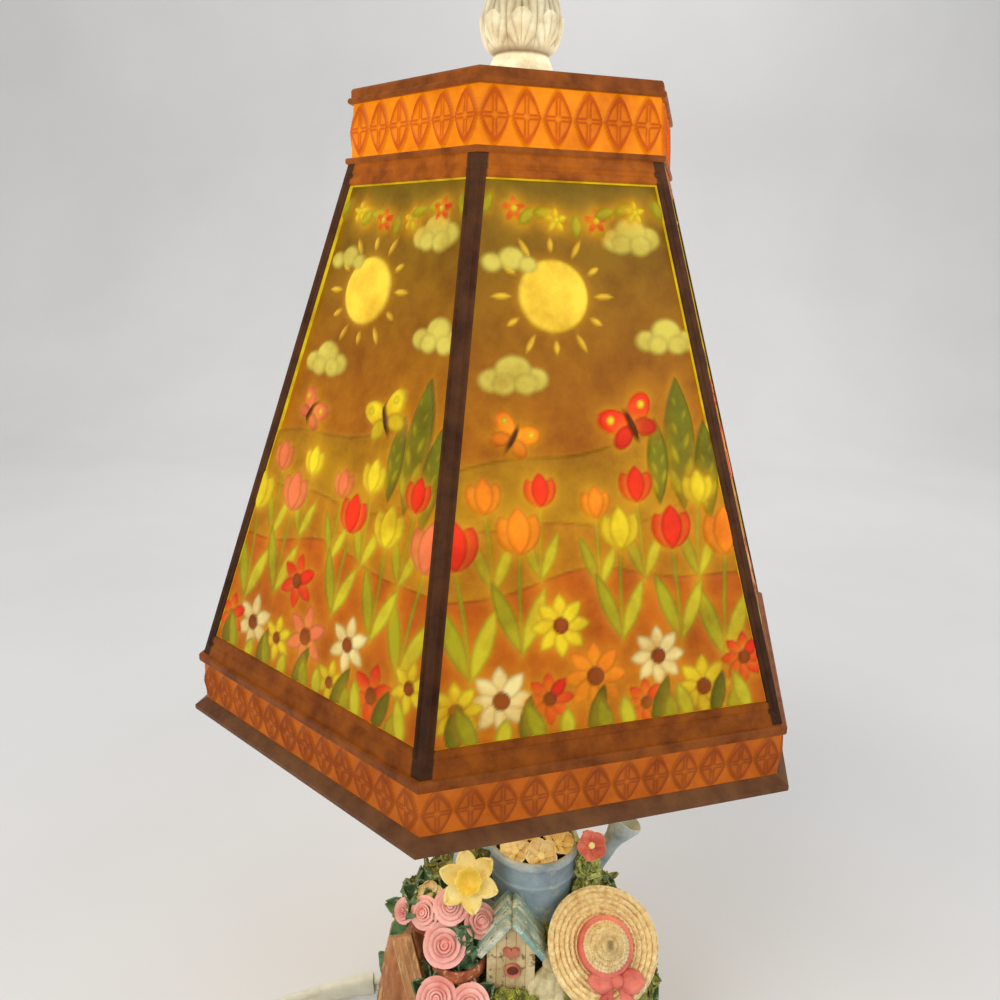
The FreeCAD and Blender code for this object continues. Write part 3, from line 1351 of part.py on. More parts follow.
def plug_body():
    """Moulded two-blade plug, narrower at the cord."""
    level = PLUG_HEIGHT / 2
    rings = []
    for x, width, height in ((0.0, 8.0, 10.0), (9.0, 10.0, 11.0), (14.0, PLUG_WIDTH - 2, PLUG_HEIGHT),
                             (PLUG_LENGTH, PLUG_WIDTH, PLUG_HEIGHT)):
        a, b = width / 2, height / 2
        cut = min(a, b) * 0.4
        corners = [(-a + cut, -b), (a - cut, -b), (a, -b + cut), (a, b - cut),
                   (a - cut, b), (-a + cut, b), (-a, b - cut), (-a, -b + cut)]
        rings.append([V(x, p, level + q) for p, q in corners])
    return at_plug(stacked(rings))


def plug_blades():
    """Two flat blades with chamfered tips."""
    level = PLUG_HEIGHT / 2
    half = BLADE_WIDTH / 2
    tip = PLUG_LENGTH + BLADE_LENGTH
    chamfer = 1.5
    outline = [(PLUG_LENGTH, -half), (tip - chamfer, -half), (tip, -half + chamfer),
               (tip, half - chamfer), (tip - chamfer, half), (PLUG_LENGTH, half)]
    blades = []
    for side in (-1, 1):
        y = side * BLADE_SPACING / 2 - BLADE_THICK / 2
        blade = prism([V(x, y, level + z) for x, z in outline], Y_AXIS * BLADE_THICK)
        blades.append(at_plug(blade))
    return group(blades)


def coil_tie():
    """Flat tie round the wound bundle."""
    inner = coil_inner() - CORD_THICK / 2 - TIE_SLACK
    outer = COIL_OUTER + CORD_THICK / 2 + TIE_SLACK
    top = COIL_LIFT + COIL_LAYER + CORD_WIDTH + TIE_SLACK
    wrap = Part.makeBox(TIE_WIDTH, outer - inner + 2 * TIE_THICK, top + TIE_THICK,
                        V(-TIE_WIDTH / 2, inner - TIE_THICK, 0))
    hole = Part.makeBox(TIE_WIDTH, outer - inner, top - TIE_THICK, V(-TIE_WIDTH / 2, inner, TIE_THICK))
    tie = wrap.cut(hole)
    tie.translate(V(COIL_CENTRE[0], COIL_CENTRE[1], 0))
    return tie


def main():
    side = shade_side()
    for k in range(SIDES):
        turned = side.copy()
        turned.rotate(V(0, 0, 0), UP, NEAR_CORNER + HALF_SIDE + k * 360.0 / SIDES)
        save("shade_side_" + str(k + 1), turned)
    save("shade_cap", shade_cap())
    save("finial", finial())
    save("finial_insert", finial_insert())

    save("rotor_hub", rotor_hub())
    save("ring_gear", ring_gear())
    save("harp_saddle", harp_saddle())
    save("saddle_nut", nut(HUB_SEAT_RADIUS + TOUCH / 4, 19.0, NUT_HEIGHT, SADDLE_HEIGHT + SADDLE_THICK))
    save("harp", harp())
    save("pinion", pinion())

    save("lamp_pipe", lamp_pipe())
    save("pipe_nuts", pipe_nuts())
    save("thrust_washer", thrust_washer())
    save("lamp_socket", lamp_socket())
    save("bulb_base", bulb_base())
    save("bulb_glass", bulb_glass())
    save("chassis_plate", chassis_plate())
    save("gear_motor", gear_motor())
    save("motor_screws", motor_screws())

    form = mound_form()
    save("garden_mound", garden_mound())
    save("base_plate", base_plate())
    save("plate_screws", plate_screws())
    save("rubber_feet", rubber_feet())
    save("hub_cover", hub_cover())

    rock = without(mossy_rocks(), form)
    stump = without(tree_stump(), form, rock)
    can = without(watering_can(), form, rock, stump)
    ivy = without(ivy_column(), form, rock, can)
    spout = without(can_spout(), can, ivy, rock)
    handle = without(can_handle(), form, can, stump)
    house = without(birdhouse(), form, rock, can)
    roof = without(birdhouse_roof(), house, can, form)
    bush = without(moss_bush(), form, rock, house, roof)
    pot = without(rose_pot(), form, rock, stump, house, roof, bush)
    hat = without(straw_hat(), form, rock, can, ivy, house, roof)
    ribbon = without(hat_ribbon(), hat)
    glove = without(garden_glove(), form, rock, house, roof, bush, hat)
    board = without(slanted_board(), form, rock, stump, pot)
    small_pot = without(leaf_pot(), form, stump, handle)
    foliage = without(rose_leaves(), pot, house, roof, stump, board, small_pot)
    rosette = without(leaf_clusters(), small_pot, handle, can, stump)
    around = [can, handle, form, rock, house, roof, pot, foliage, rosette, small_pot]
    daffodil_whole = without(daffodil(), *around)
    kept = [form, rock, stump, board, small_pot, pot, house, roof, bush, foliage, rosette, ivy, spout,
            daffodil_whole]
    blooms = []
    for bloom in rose_blooms().Solids:
        blooms.append(without(bloom, *kept, *blooms))
    blossoms = []
    for blossom in can_blossoms().Solids:
        blossoms.append(without(blossom, can, handle, *blossoms))

    save("mossy_rocks", rock)
    save("tree_stump", stump)
    save("watering_can", can)
    save("ivy_column", ivy)
    save("can_spout", spout)
    save("can_handle", handle)
    save("can_blossoms", group(blossoms))
    save("birdhouse", house)
    save("birdhouse_roof", roof)
    save("moss_bush", bush)
    save("rose_pot", pot)
    save("rose_leaves", foliage)
    save("rose_blooms", group(blooms))
    save("straw_hat", hat)
    save("hat_ribbon", ribbon)
    save("garden_glove", glove)
    save("slanted_board", board)
    save("leaf_pot", small_pot)
    save("leaf_plant", rosette)
    save("daffodil", daffodil_whole)

    lead, lead_length = cord_lead()
    tail, tail_length = cord_tail()
    save("cord_bushing", cord_bushing())
    save("cord_lead", lead)
    save("cord_coil", cord_coil())
    save("cord_tail", tail)
    save("switch_body", switch_body())
    save("switch_rocker", switch_rocker())
    save("plug_body", plug_body())
    save("plug_blades", plug_blades())
    save("coil_tie", coil_tie())
    print("lead", round(lead_length, 1), "tail", round(tail_length, 1))
    print(len(built), "pieces")


main()
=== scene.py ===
# %% [markdown]
# A rotating motion lamp: a lit, hexagonal shade of cast panels turns slowly above a painted garden.
# The solids come from the CAD frame. Here each visible piece gets its fine shape and its finish.
# All lengths are metres in the frame of the CAD part: x to the right, y away from the viewer, z up.

# %% Start: load the frame
import json
import math
import random

import bmesh
import bpy
import numpy as np
from mathutils import Matrix, Vector, noise


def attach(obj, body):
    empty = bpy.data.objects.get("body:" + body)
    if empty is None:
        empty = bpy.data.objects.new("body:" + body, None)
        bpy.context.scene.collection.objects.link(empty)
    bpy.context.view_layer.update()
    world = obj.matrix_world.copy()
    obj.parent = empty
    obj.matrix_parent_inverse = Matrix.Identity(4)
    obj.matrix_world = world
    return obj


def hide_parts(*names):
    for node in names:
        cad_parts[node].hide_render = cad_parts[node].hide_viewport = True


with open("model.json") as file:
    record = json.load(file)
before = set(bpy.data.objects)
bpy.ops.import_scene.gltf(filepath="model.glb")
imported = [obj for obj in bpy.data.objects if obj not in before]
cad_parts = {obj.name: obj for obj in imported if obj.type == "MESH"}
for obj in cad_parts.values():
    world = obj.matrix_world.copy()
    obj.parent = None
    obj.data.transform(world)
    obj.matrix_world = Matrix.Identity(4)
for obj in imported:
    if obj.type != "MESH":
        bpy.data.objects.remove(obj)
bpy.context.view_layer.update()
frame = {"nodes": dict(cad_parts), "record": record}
nodes = frame["nodes"]
MM = 0.001


# %% [markdown]
# Everything is modelled with Blender's own operators, as by hand: add a primitive, go into edit mode,
# pull it into shape, leave edit mode. Two small helpers keep that short. The first one deselects all,
# because an operator works on everything that is selected.

# %% Helpers for modelling
def start_fresh():
    """Leave edit mode and select nothing."""
    if bpy.context.object and bpy.context.object.mode != "OBJECT":
        bpy.ops.object.mode_set(mode="OBJECT")
    bpy.ops.object.select_all(action="DESELECT")


def select_only(piece):
    start_fresh()
    piece.select_set(True)
    bpy.context.view_layer.objects.active = piece


def named(name):
    """Name the object that the last operator made, and its mesh."""
    piece = bpy.context.object
    piece.name = name
    piece.data.name = name
    return piece


def settle(piece):
    """Put the object's place into its mesh, so that the object itself sits at the origin."""
    select_only(piece)
    bpy.ops.object.transform_apply(location=True, rotation=True, scale=True)
    return piece


def copy_of(piece, name, matrix):
    """A copy with a mesh of its own, moved in its mesh."""
    twin = piece.copy()
    twin.data = piece.data.copy()
    twin.name = name
    twin.data.name = name
    bpy.context.scene.collection.objects.link(twin)
    twin.data.transform(matrix)
    return twin


def join(pieces, name):
    select_only(pieces[0])
    for piece in pieces[1:]:
        piece.select_set(True)
    if len(pieces) > 1:
        bpy.ops.object.join()
    return named(name)


def smooth(piece, degrees=40):
    select_only(piece)
    bpy.ops.object.shade_smooth_by_angle(angle=math.radians(degrees))
    return piece


def outward(piece):
    """Merge doubles and point every face outwards."""
    select_only(piece)
    bpy.ops.object.mode_set(mode="EDIT")
    bpy.ops.mesh.select_all(action="SELECT")
    bpy.ops.mesh.remove_doubles(threshold=1e-6)
    bpy.ops.mesh.normals_make_consistent(inside=False)
    bpy.ops.object.mode_set(mode="OBJECT")
    return piece


def modifier(piece, kind, **values):
    """Add a modifier, set it and apply it."""
    select_only(piece)
    added = piece.modifiers.new(kind.title(), kind)
    for key, value in values.items():
        setattr(added, key, value)
    bpy.ops.object.modifier_apply(modifier=added.name)
    return piece


def points_of(piece):
    """The piece's points as rows of x, y, z."""
    flat = np.zeros(len(piece.data.vertices) * 3)
    piece.data.vertices.foreach_get("co", flat)
    return flat.reshape(-1, 3)


def set_points(piece, rows):
    piece.data.vertices.foreach_set("co", np.asarray(rows, dtype=float).ravel())
    piece.data.update()


# %% [markdown]
# Materials. All of the garden is a resin casting, painted by hand in slightly uneven coats and rubbed
# paler here and there. One recipe makes all of those paints: a light and a dark tone mixed by cloudy
# noise, specks of a worn tone from a finer noise, and a fine bump. Noise on Object coordinates needs no
# unwrapping and runs on over the joins of a piece.

# %% Material recipes
def new_material(name):
    material = bpy.data.materials.new(name)
    material.use_nodes = True
    tree = material.node_tree
    shader = tree.nodes["Principled BSDF"]
    return material, tree, shader


def linear(colour):
    """A colour written as screen values from 0 to 1, turned into the linear values of a shader."""
    return tuple(c / 12.92 if c <= 0.04045 else ((c + 0.055) / 1.055) ** 2.4 for c in colour) + (1.0,)


def object_noise(tree, scale, detail=4.0, roughness=0.55, stretch=(1, 1, 1)):
    """Noise on Object coordinates, with its own stretch."""
    place = tree.nodes.new("ShaderNodeTexCoord")
    mapping = tree.nodes.new("ShaderNodeMapping")
    mapping.inputs["Scale"].default_value = stretch
    pattern = tree.nodes.new("ShaderNodeTexNoise")
    pattern.inputs["Scale"].default_value = scale
    pattern.inputs["Detail"].default_value = detail
    pattern.inputs["Roughness"].default_value = roughness
    tree.links.new(place.outputs["Object"], mapping.inputs["Vector"])
    tree.links.new(mapping.outputs["Vector"], pattern.inputs["Vector"])
    return pattern.outputs["Fac"]


def ramp(tree, factor, stops):
    """A colour ramp with (position, linear colour) stops."""
    node = tree.nodes.new("ShaderNodeValToRGB")
    while len(node.color_ramp.elements) < len(stops):
        node.color_ramp.elements.new(0.5)
    for element, (position, colour) in zip(node.color_ramp.elements, stops):
        element.position = position
        element.color = colour
    tree.links.new(factor, node.inputs["Fac"])
    return node.outputs["Color"]


def mix(tree, kind, factor, first, second):
    """Mix two colours; each of them, and the factor, is a socket or a plain value."""
    node = tree.nodes.new("ShaderNodeMix")
    node.data_type = "RGBA"
    node.blend_type = kind
    for socket, value in ((node.inputs[0], factor), (node.inputs[6], first), (node.inputs[7], second)):
        if isinstance(value, bpy.types.NodeSocket):
            tree.links.new(value, socket)
        else:
            socket.default_value = value
    return node.outputs[2]


def add_bump(tree, shader, height, strength, distance):
    bump = tree.nodes.new("ShaderNodeBump")
    bump.inputs["Strength"].default_value = strength
    bump.inputs["Distance"].default_value = distance
    tree.links.new(height, bump.inputs["Height"])
    tree.links.new(bump.outputs["Normal"], shader.inputs["Normal"])


def painted(name, light, dark, roughness=0.55, scale=160.0, worn=None, stretch=(1, 1, 1), bump=0.35):
    """Hand-painted resin: cloudy light and dark paint, and specks of the worn tone."""
    material, tree, shader = new_material(name)
    clouds = object_noise(tree, scale, 5.0, 0.6, stretch)
    colour = ramp(tree, clouds, [(0.32, linear(dark)), (0.62, linear(light))])
    if worn:
        specks = object_noise(tree, scale * 3.1, 3.0, 0.7, stretch)
        mask = ramp(tree, specks, [(0.56, (0, 0, 0, 1)), (0.66, (1, 1, 1, 1))])
        colour = mix(tree, "MIX", mask, colour, linear(worn))
    tree.links.new(colour, shader.inputs["Base Color"])
    shader.inputs["Roughness"].default_value = roughness
    grain = object_noise(tree, scale * 6.0, 3.0)
    add_bump(tree, shader, grain, bump, 0.0006)
    return material


def metal(name, colour, dark, roughness=0.3, scale=220.0, stretch=(1, 1, 8)):
    """Turned or plated metal with faint streaks."""
    material, tree, shader = new_material(name)
    streaks = object_noise(tree, scale, 3.0, 0.5, stretch)
    tone = ramp(tree, streaks, [(0.3, linear(dark)), (0.7, linear(colour))])
    tree.links.new(tone, shader.inputs["Base Color"])
    shader.inputs["Metallic"].default_value = 1.0
    shader.inputs["Roughness"].default_value = roughness
    add_bump(tree, shader, streaks, 0.12, 0.0002)
    return material


# %% [markdown]
# The lit parts. The shade and the finial are translucent casting with a bulb inside, so they give off
# their own colour, strongest near the bulb and weaker towards the corners. The glow is worked out from
# the distance to the bulb's centre on Object coordinates; the paint, with painted shade and highlights
# in it, is a colour attribute of the mesh.

# %% Lit casting
BULB_CENTRE = (0.0, 0.0, 0.243)


def distance_glow(tree, near, far, bright, dim, centre=BULB_CENTRE):
    """A value that falls from bright to dim with the distance from the bulb."""
    place = tree.nodes.new("ShaderNodeTexCoord")
    away = tree.nodes.new("ShaderNodeVectorMath")
    away.operation = "DISTANCE"
    away.inputs[1].default_value = centre
    tree.links.new(place.outputs["Object"], away.inputs[0])
    fall = tree.nodes.new("ShaderNodeMapRange")
    fall.interpolation_type = "SMOOTHSTEP"
    fall.inputs["From Min"].default_value = near
    fall.inputs["From Max"].default_value = far
    fall.inputs["To Min"].default_value = bright
    fall.inputs["To Max"].default_value = dim
    tree.links.new(away.outputs["Value"], fall.inputs["Value"])
    return fall.outputs["Result"]


def lit_paint(name, near, far, bright, dim, wash_scale=90.0, body=0.13, centre=BULB_CENTRE):
    """Translucent painted casting: the mesh's paint attribute, with the painted shade and highlights in it,
    both reflects and glows.
    """
    material, tree, shader = new_material(name)
    paint = tree.nodes.new("ShaderNodeAttribute")
    paint.attribute_name = "paint"
    clouds = object_noise(tree, wash_scale, 5.0, 0.62)
    veil = ramp(tree, clouds, [(0.28, (0.66, 0.54, 0.40, 1)), (0.60, (1, 1, 1, 1))])
    colour = mix(tree, "MULTIPLY", 1.0, paint.outputs["Color"], veil)
    dull = mix(tree, "MULTIPLY", 1.0, colour, (body, body, body, 1))
    tree.links.new(dull, shader.inputs["Base Color"])
    glow = distance_glow(tree, near, far, bright, dim, centre)
    tree.links.new(colour, shader.inputs["Emission Color"])
    tree.links.new(glow, shader.inputs["Emission Strength"])
    shader.inputs["Roughness"].default_value = 0.42
    shader.inputs["Specular IOR Level"].default_value = 0.12
    grain = object_noise(tree, 900.0, 3.0)
    add_bump(tree, shader, grain, 0.25, 0.0004)
    return material


def set_paint_and_shade(piece, colours):
    """Store one colour per point as the mesh's paint attribute, painted shade and highlights included."""
    layer = piece.data.color_attributes.new("paint", "FLOAT_COLOR", "POINT")
    rows = np.ones((len(piece.data.vertices), 4))
    rows[:, :3] = colours
    layer.data.foreach_set("color", rows.ravel())


def screen(red, green, blue):
    """A colour read as 0 to 255 on a screen, as a linear row."""
    return np.array(linear((red / 255, green / 255, blue / 255))[:3])


picture_paint = lit_paint("picture_paint", 0.055, 0.125, 1.15, 0.72)
band_paint = lit_paint("band_paint", 0.075, 0.125, 1.05, 0.80)

# %% Plain finishes
FINISHES = {
    "brass_part": metal("turned_brass", (0.80, 0.64, 0.34), (0.62, 0.46, 0.22)),
    "steel_part": metal("zinc_plate", (0.66, 0.66, 0.67), (0.50, 0.50, 0.52)),
    "motor_case": metal("plated_can", (0.58, 0.59, 0.60), (0.44, 0.45, 0.46)),
    "gear_plastic": painted("natural_nylon", (0.90, 0.88, 0.82), (0.84, 0.81, 0.74), 0.4, 300, bump=0.1),
    "socket_shell": painted("moulded_black", (0.13, 0.13, 0.13), (0.09, 0.09, 0.09), 0.35, 300,
                            bump=0.15),
    "rubber_black": painted("black_rubber", (0.11, 0.11, 0.11), (0.07, 0.07, 0.07), 0.8, 260, bump=0.3),
    "tie_black": painted("tie_strap", (0.12, 0.12, 0.12), (0.08, 0.08, 0.08), 0.5, 260, bump=0.2),
    "white_plastic": painted("moulded_white", (0.89, 0.88, 0.82), (0.84, 0.83, 0.77), 0.35, 200,
                             bump=0.12),
    "cord_white": painted("cord_sheath", (0.90, 0.89, 0.81), (0.84, 0.83, 0.74), 0.45, 200, bump=0.12),
    "base_green": painted("moss", (0.60, 0.60, 0.27), (0.24, 0.24, 0.09), 0.7, 210,
                          (0.74, 0.72, 0.38), bump=0.9),
    "bark": painted("bark", (0.74, 0.48, 0.28), (0.42, 0.23, 0.11), 0.6, 90,
                    (0.80, 0.60, 0.40), (1, 1, 0.25), 0.6),
    "can_blue": painted("worn_blue_paint", (0.59, 0.67, 0.71), (0.42, 0.49, 0.54), 0.5, 70,
                        (0.70, 0.72, 0.62)),
    "petal_cream": painted("cream_petals", (0.97, 0.91, 0.70), (0.84, 0.70, 0.42), 0.6, 190),
    "petal_yellow": painted("yellow_petals", (0.98, 0.94, 0.68), (0.92, 0.82, 0.42), 0.6, 150),
    "rose_pink": painted("rose_petals", (0.97, 0.76, 0.71), (0.88, 0.54, 0.50), 0.6, 120),
    "leaf_green": painted("garden_leaves", (0.44, 0.57, 0.38), (0.16, 0.28, 0.16), 0.55, 150,
                          (0.72, 0.78, 0.60)),
    "terracotta": painted("terracotta", (0.76, 0.43, 0.25), (0.52, 0.25, 0.13), 0.7, 170,
                          (0.86, 0.66, 0.50)),
    "house_cream": painted("worn_cream_paint", (0.88, 0.80, 0.60), (0.70, 0.58, 0.38), 0.6, 110,
                           (0.50, 0.38, 0.22)),
    "roof_teal": painted("worn_teal_paint", (0.63, 0.75, 0.70), (0.40, 0.53, 0.49), 0.6, 130,
                         (0.84, 0.86, 0.78)),
    "straw": painted("straw", (0.99, 0.91, 0.68), (0.86, 0.72, 0.46), 0.7, 420, (1.0, 0.96, 0.80), bump=0.5),
    "ribbon_coral": painted("coral_ribbon", (0.94, 0.53, 0.44), (0.76, 0.33, 0.28), 0.55, 120),
    "glove_cream": painted("canvas_glove", (0.92, 0.87, 0.68), (0.68, 0.60, 0.40), 0.75, 160),
    "board_tan": painted("pale_board", (0.84, 0.62, 0.40), (0.60, 0.40, 0.23), 0.65, 120,
                         (0.90, 0.74, 0.52), (1, 1, 0.2), 0.6),
}
slot_of = {entry["node"]: entry["material_slot"] for entry in frame["record"]["subparts"]}
for name, node in nodes.items():
    finish = FINISHES.get(slot_of[name])
    if finish:
        node.data.materials.clear()
        node.data.materials.append(finish)
print("finishes", len(FINISHES))


# %% [markdown]
# The camera stands where the photograph was taken: close to the lamp, a little above the middle of the
# shade, tilted down by about fifteen degrees and turned a touch. The lamp stands on a plain pale floor.

# %% Camera
def looking(pitch, roll, yaw):
    """The camera's turn from its tilt down, its roll and its turn to the side, in degrees."""
    ahead = Vector((math.sin(yaw) * math.cos(pitch), math.cos(yaw) * math.cos(pitch), math.sin(pitch)))
    right = Vector((math.cos(yaw), -math.sin(yaw), 0))
    up = right.cross(ahead)
    across = right * math.cos(roll) + up * math.sin(roll)
    upward = up * math.cos(roll) - right * math.sin(roll)
    return Matrix((across, upward, -ahead)).transposed().to_4x4()


camera_data = bpy.data.cameras.new("camera")
camera = bpy.data.objects.new("camera", camera_data)
bpy.context.scene.collection.objects.link(camera)
camera.matrix_world = Matrix.Translation((0, -0.26241, 0.28211)) @ looking(
    math.radians(-15.22), math.radians(1.065), math.radians(-0.77))
camera_data.lens = 30.852
camera_data.sensor_width = 36.0
camera_data.clip_start = 0.01
bpy.context.scene.camera = camera

# %% Floor and backdrop
start_fresh()
bpy.ops.mesh.primitive_plane_add(size=3.0, location=(0, 0, 0))
floor = named("floor")
bpy.ops.object.mode_set(mode="EDIT")
bpy.ops.mesh.select_mode(type="EDGE")
bpy.ops.mesh.select_all(action="DESELECT")
bpy.ops.object.mode_set(mode="OBJECT")
for edge in floor.data.edges:
    edge.select = all(floor.data.vertices[v].co.y > 1.0 for v in edge.vertices)
bpy.ops.object.mode_set(mode="EDIT")
bpy.ops.mesh.extrude_region_move(TRANSFORM_OT_translate={"value": (0, 0, 2.0)})
bpy.ops.object.mode_set(mode="OBJECT")
modifier(floor, "BEVEL", width=0.5, segments=12, affect="EDGES", limit_method="ANGLE")
smooth(floor, 60)
backdrop, tree, shader = new_material("pale_floor")
soft = object_noise(tree, 3.0)
floor_tone = ramp(tree, soft, [(0.3, (0.70, 0.69, 0.67, 1)), (0.7, (0.76, 0.75, 0.73, 1))])
tree.links.new(floor_tone, shader.inputs["Base Color"])
shader.inputs["Roughness"].default_value = 0.8
floor.data.materials.append(backdrop)


# %% Lamps and world
def area_light(name, place, aim, size, watts, colour=(1, 1, 1)):
    data = bpy.data.lights.new(name, "AREA")
    data.size = size
    data.energy = watts
    data.color = colour
    light = bpy.data.objects.new(name, data)
    light.location = place
    light.rotation_euler = (Vector(aim) - Vector(place)).to_track_quat("-Z", "Y").to_euler()
    bpy.context.scene.collection.objects.link(light)


area_light("key", (-0.9, -1.1, 1.3), (0, 0, 0.16), 1.0, 17.0, (1.0, 0.97, 0.93))
area_light("fill", (1.2, -0.8, 0.9), (0, 0, 0.16), 1.2, 8.0, (0.95, 0.97, 1.0))
area_light("back", (0.2, 1.1, 1.4), (0, 0, 0.2), 1.0, 8.0)
world = bpy.data.worlds.new("world")
bpy.context.scene.world = world
world.use_nodes = True
world.node_tree.nodes["Background"].inputs["Color"].default_value = (0.80, 0.82, 0.86, 1)
world.node_tree.nodes["Background"].inputs["Strength"].default_value = 0.55
bpy.context.scene.view_settings.view_transform = "Standard"

# %% [markdown]
# The mains cord is a flat twin cord that leaves the base on its left, rises a little in its bushing, runs
# over the table through an inline switch, and is wound up out of view. It is one smooth NURBS line through
# the same route as the solid, with a figure-of-eight section: two round strands with a groove between.

# %% Mains cord: the route
COIL_CENTRE = (-0.0710, -0.1136)
COIL_OUTER = 0.0475
COIL_PITCH = 0.0051
COIL_LAYER = 0.0082
COIL_LEVEL = 0.0045
CORD_WIDTH = 0.0066
CORD_THICK = 0.0034
IN_QUARTERS, CLIMB_QUARTERS, OUT_QUARTERS = 12, 2, 11


def coil_point(quarter):
    """Middle of the wound cord after a number of quarter turns."""
    turning = IN_QUARTERS + CLIMB_QUARTERS / 2
    inner = COIL_OUTER - COIL_PITCH * turning / 4
    radius = inner + COIL_PITCH * abs(quarter - turning) / 4
    share = min(max((quarter - IN_QUARTERS) / CLIMB_QUARTERS, 0.0), 1.0)
    rise = COIL_LAYER * (3 * share ** 2 - 2 * share ** 3)
    angle = math.radians(180 + quarter * 90)
    x = COIL_CENTRE[0] + radius * math.cos(angle)
    y = COIL_CENTRE[1] + radius * math.sin(angle)
    return (x, y, COIL_LEVEL + rise)


route = [
    (-0.0330, 0.0150, 0.0075),
    (-0.0500, 0.0150, 0.0075),
    (-0.0660, 0.0126, 0.0046),
    (-0.0840, 0.0072, 0.0033),
    (-0.1030, -0.0060, 0.0036),
    (-0.1150, -0.0290, 0.0045),
    (-0.1185, -0.0810, 0.0045),
    (-0.1185, -0.1070, 0.0045),
]
POINTS_PER_TURN = 16
total_quarters = IN_QUARTERS + CLIMB_QUARTERS + OUT_QUARTERS
coil_steps = total_quarters * POINTS_PER_TURN // 4
for step in range(coil_steps + 1):
    route.append(coil_point(total_quarters * step / coil_steps))
end = route[-1]
route += [
    (end[0] + 0.0170, end[1], end[2]),
    (end[0] + 0.0360 + CORD_WIDTH, end[1] + 0.0030, 0.0080),
    (end[0] + 0.0540 + CORD_WIDTH, end[1] + 0.0090, 0.0070),
    (end[0] + 0.0700 + CORD_WIDTH, end[1] + 0.0175, 0.0070),
]
print("cord points", len(route))


# %% Mains cord: the smooth line and the sheath round it
def smooth_line(points, name):
    """Points along the NURBS line that has the route as its control points."""
    data = bpy.data.curves.new(name, "CURVE")
    data.dimensions = "3D"
    data.resolution_u = 5
    spline = data.splines.new("NURBS")
    spline.points.add(len(points) - 1)
    for control, point in zip(spline.points, points):
        control.co = (*point, 1.0)
    spline.order_u = 3
    spline.use_endpoint_u = True
    holder = bpy.data.objects.new(name, data)
    bpy.context.scene.collection.objects.link(holder)
    bpy.context.view_layer.update()
    line = bpy.data.meshes.new_from_object(holder.evaluated_get(bpy.context.evaluated_depsgraph_get()))
    path = [vertex.co.copy() for vertex in line.vertices]
    bpy.data.objects.remove(holder)
    return path


def swept(name, path, section):
    """A closed tube of the flat section along the path, with the section's height kept upright."""
    count = len(section)
    corners, faces = [], []
    for k, place in enumerate(path):
        ahead = (path[min(k + 1, len(path) - 1)] - path[max(k - 1, 0)]).normalized()
        side = Vector((0, 0, 1)).cross(ahead).normalized()
        up = ahead.cross(side)
        corners += [place + side * a + up * b for a, b in section]
    for k in range(len(path) - 1):
        for i in range(count):
            j = (i + 1) % count
            faces.append((k * count + i, k * count + j, (k + 1) * count + j, (k + 1) * count + i))
    faces.append(tuple(range(count)))
    faces.append(tuple(range(len(corners) - count, len(corners))))
    mesh = bpy.data.meshes.new(name)
    mesh.from_pydata(corners, [], faces)
    piece = bpy.data.objects.new(name, mesh)
    bpy.context.scene.collection.objects.link(piece)
    return smooth(outward(piece), 50)


strand = CORD_THICK / 2
twin_section = []
for side, first_angle in ((1, -55), (-1, 125)):
    strand_middle = side * (CORD_WIDTH / 2 - strand)
    for k in range(7):
        angle = math.radians(first_angle + k * 48.3)
        twin_section.append((strand * math.cos(angle), strand_middle + strand * math.sin(angle)))
cord_path = smooth_line(route, "cord_route")
cord = swept("mains_cord", cord_path, twin_section)
cord.data.materials.append(FINISHES["cord_white"])
cord_length = sum((b - a).length for a, b in zip(cord_path, cord_path[1:]))
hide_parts("cord_lead", "cord_coil", "cord_tail")
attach(cord, "base")
print("cord length", round(cord_length, 3), "points", len(cord_path))

# %% [markdown]
# The shade has six equal castings. Each one is a frame of posts and rails with a picture panel behind
# it, a band of ogee lozenges above and below, and ledges between. One casting is modelled facing +X, and
# the others are copies turned about the lamp's axis. The frame starts as a polygon with the casting's
# section, which is extruded and cut to a wedge; the panel's recess is inset from its sloping face.

# %% Shade: the section of a casting
FOOT = 0.152
NEAR_CORNER = -101.7
HALF_SIDE = math.radians(30)
SKIRT_RADIUS, SLOPE_TOP_RADIUS = 95.2, 48.6
SLOPE_LOW, SLOPE_HIGH = 17.9, 156.1
SECTION = [
    (98.8, 0.0), (98.8, 1.2), (97.6, 2.0), (SKIRT_RADIUS, 3.2), (SKIRT_RADIUS, 15.2), (96.2, 15.2),
    (96.6, 15.7), (96.6, 17.4), (96.2, SLOPE_LOW), (SKIRT_RADIUS, SLOPE_LOW),
    (SLOPE_TOP_RADIUS, SLOPE_HIGH), (49.1, SLOPE_HIGH), (49.35, 156.5), (49.35, 157.2), (49.1, 157.6),
    (47.6, 157.6), (46.7, 171.2), (43.1, 171.2), (44.0, SLOPE_HIGH), (91.6, 15.2), (91.6, 3.2), (93.4, 0.0),
]


def flat_radius(corner_radius):
    return corner_radius * math.cos(HALF_SIDE) * MM


def slope_radius(z):
    """Corner radius of the sloping face, in millimetres, at a height above the skirt's foot."""
    share = (z - SLOPE_LOW) / (SLOPE_HIGH - SLOPE_LOW)
    return SKIRT_RADIUS - share * (SKIRT_RADIUS - SLOPE_TOP_RADIUS)


def on_slope(z, along):
    return Vector((flat_radius(slope_radius(z)), along * MM, FOOT + z * MM))


SLOPE_OUT = (on_slope(150, 1) - on_slope(150, 0)).cross(on_slope(150, 0) - on_slope(24, 0)).normalized()
PANEL_FOOT, PANEL_TOP, POST = 24.0, 150.6, 3.0
panel_corners = [on_slope(z, side * (slope_radius(z) / 2 - POST)) for z, side in
                 ((PANEL_FOOT, -1), (PANEL_FOOT, 1), (PANEL_TOP, 1), (PANEL_TOP, -1))]
print("panel height along the slope", round((panel_corners[3] - panel_corners[0]).length, 4))

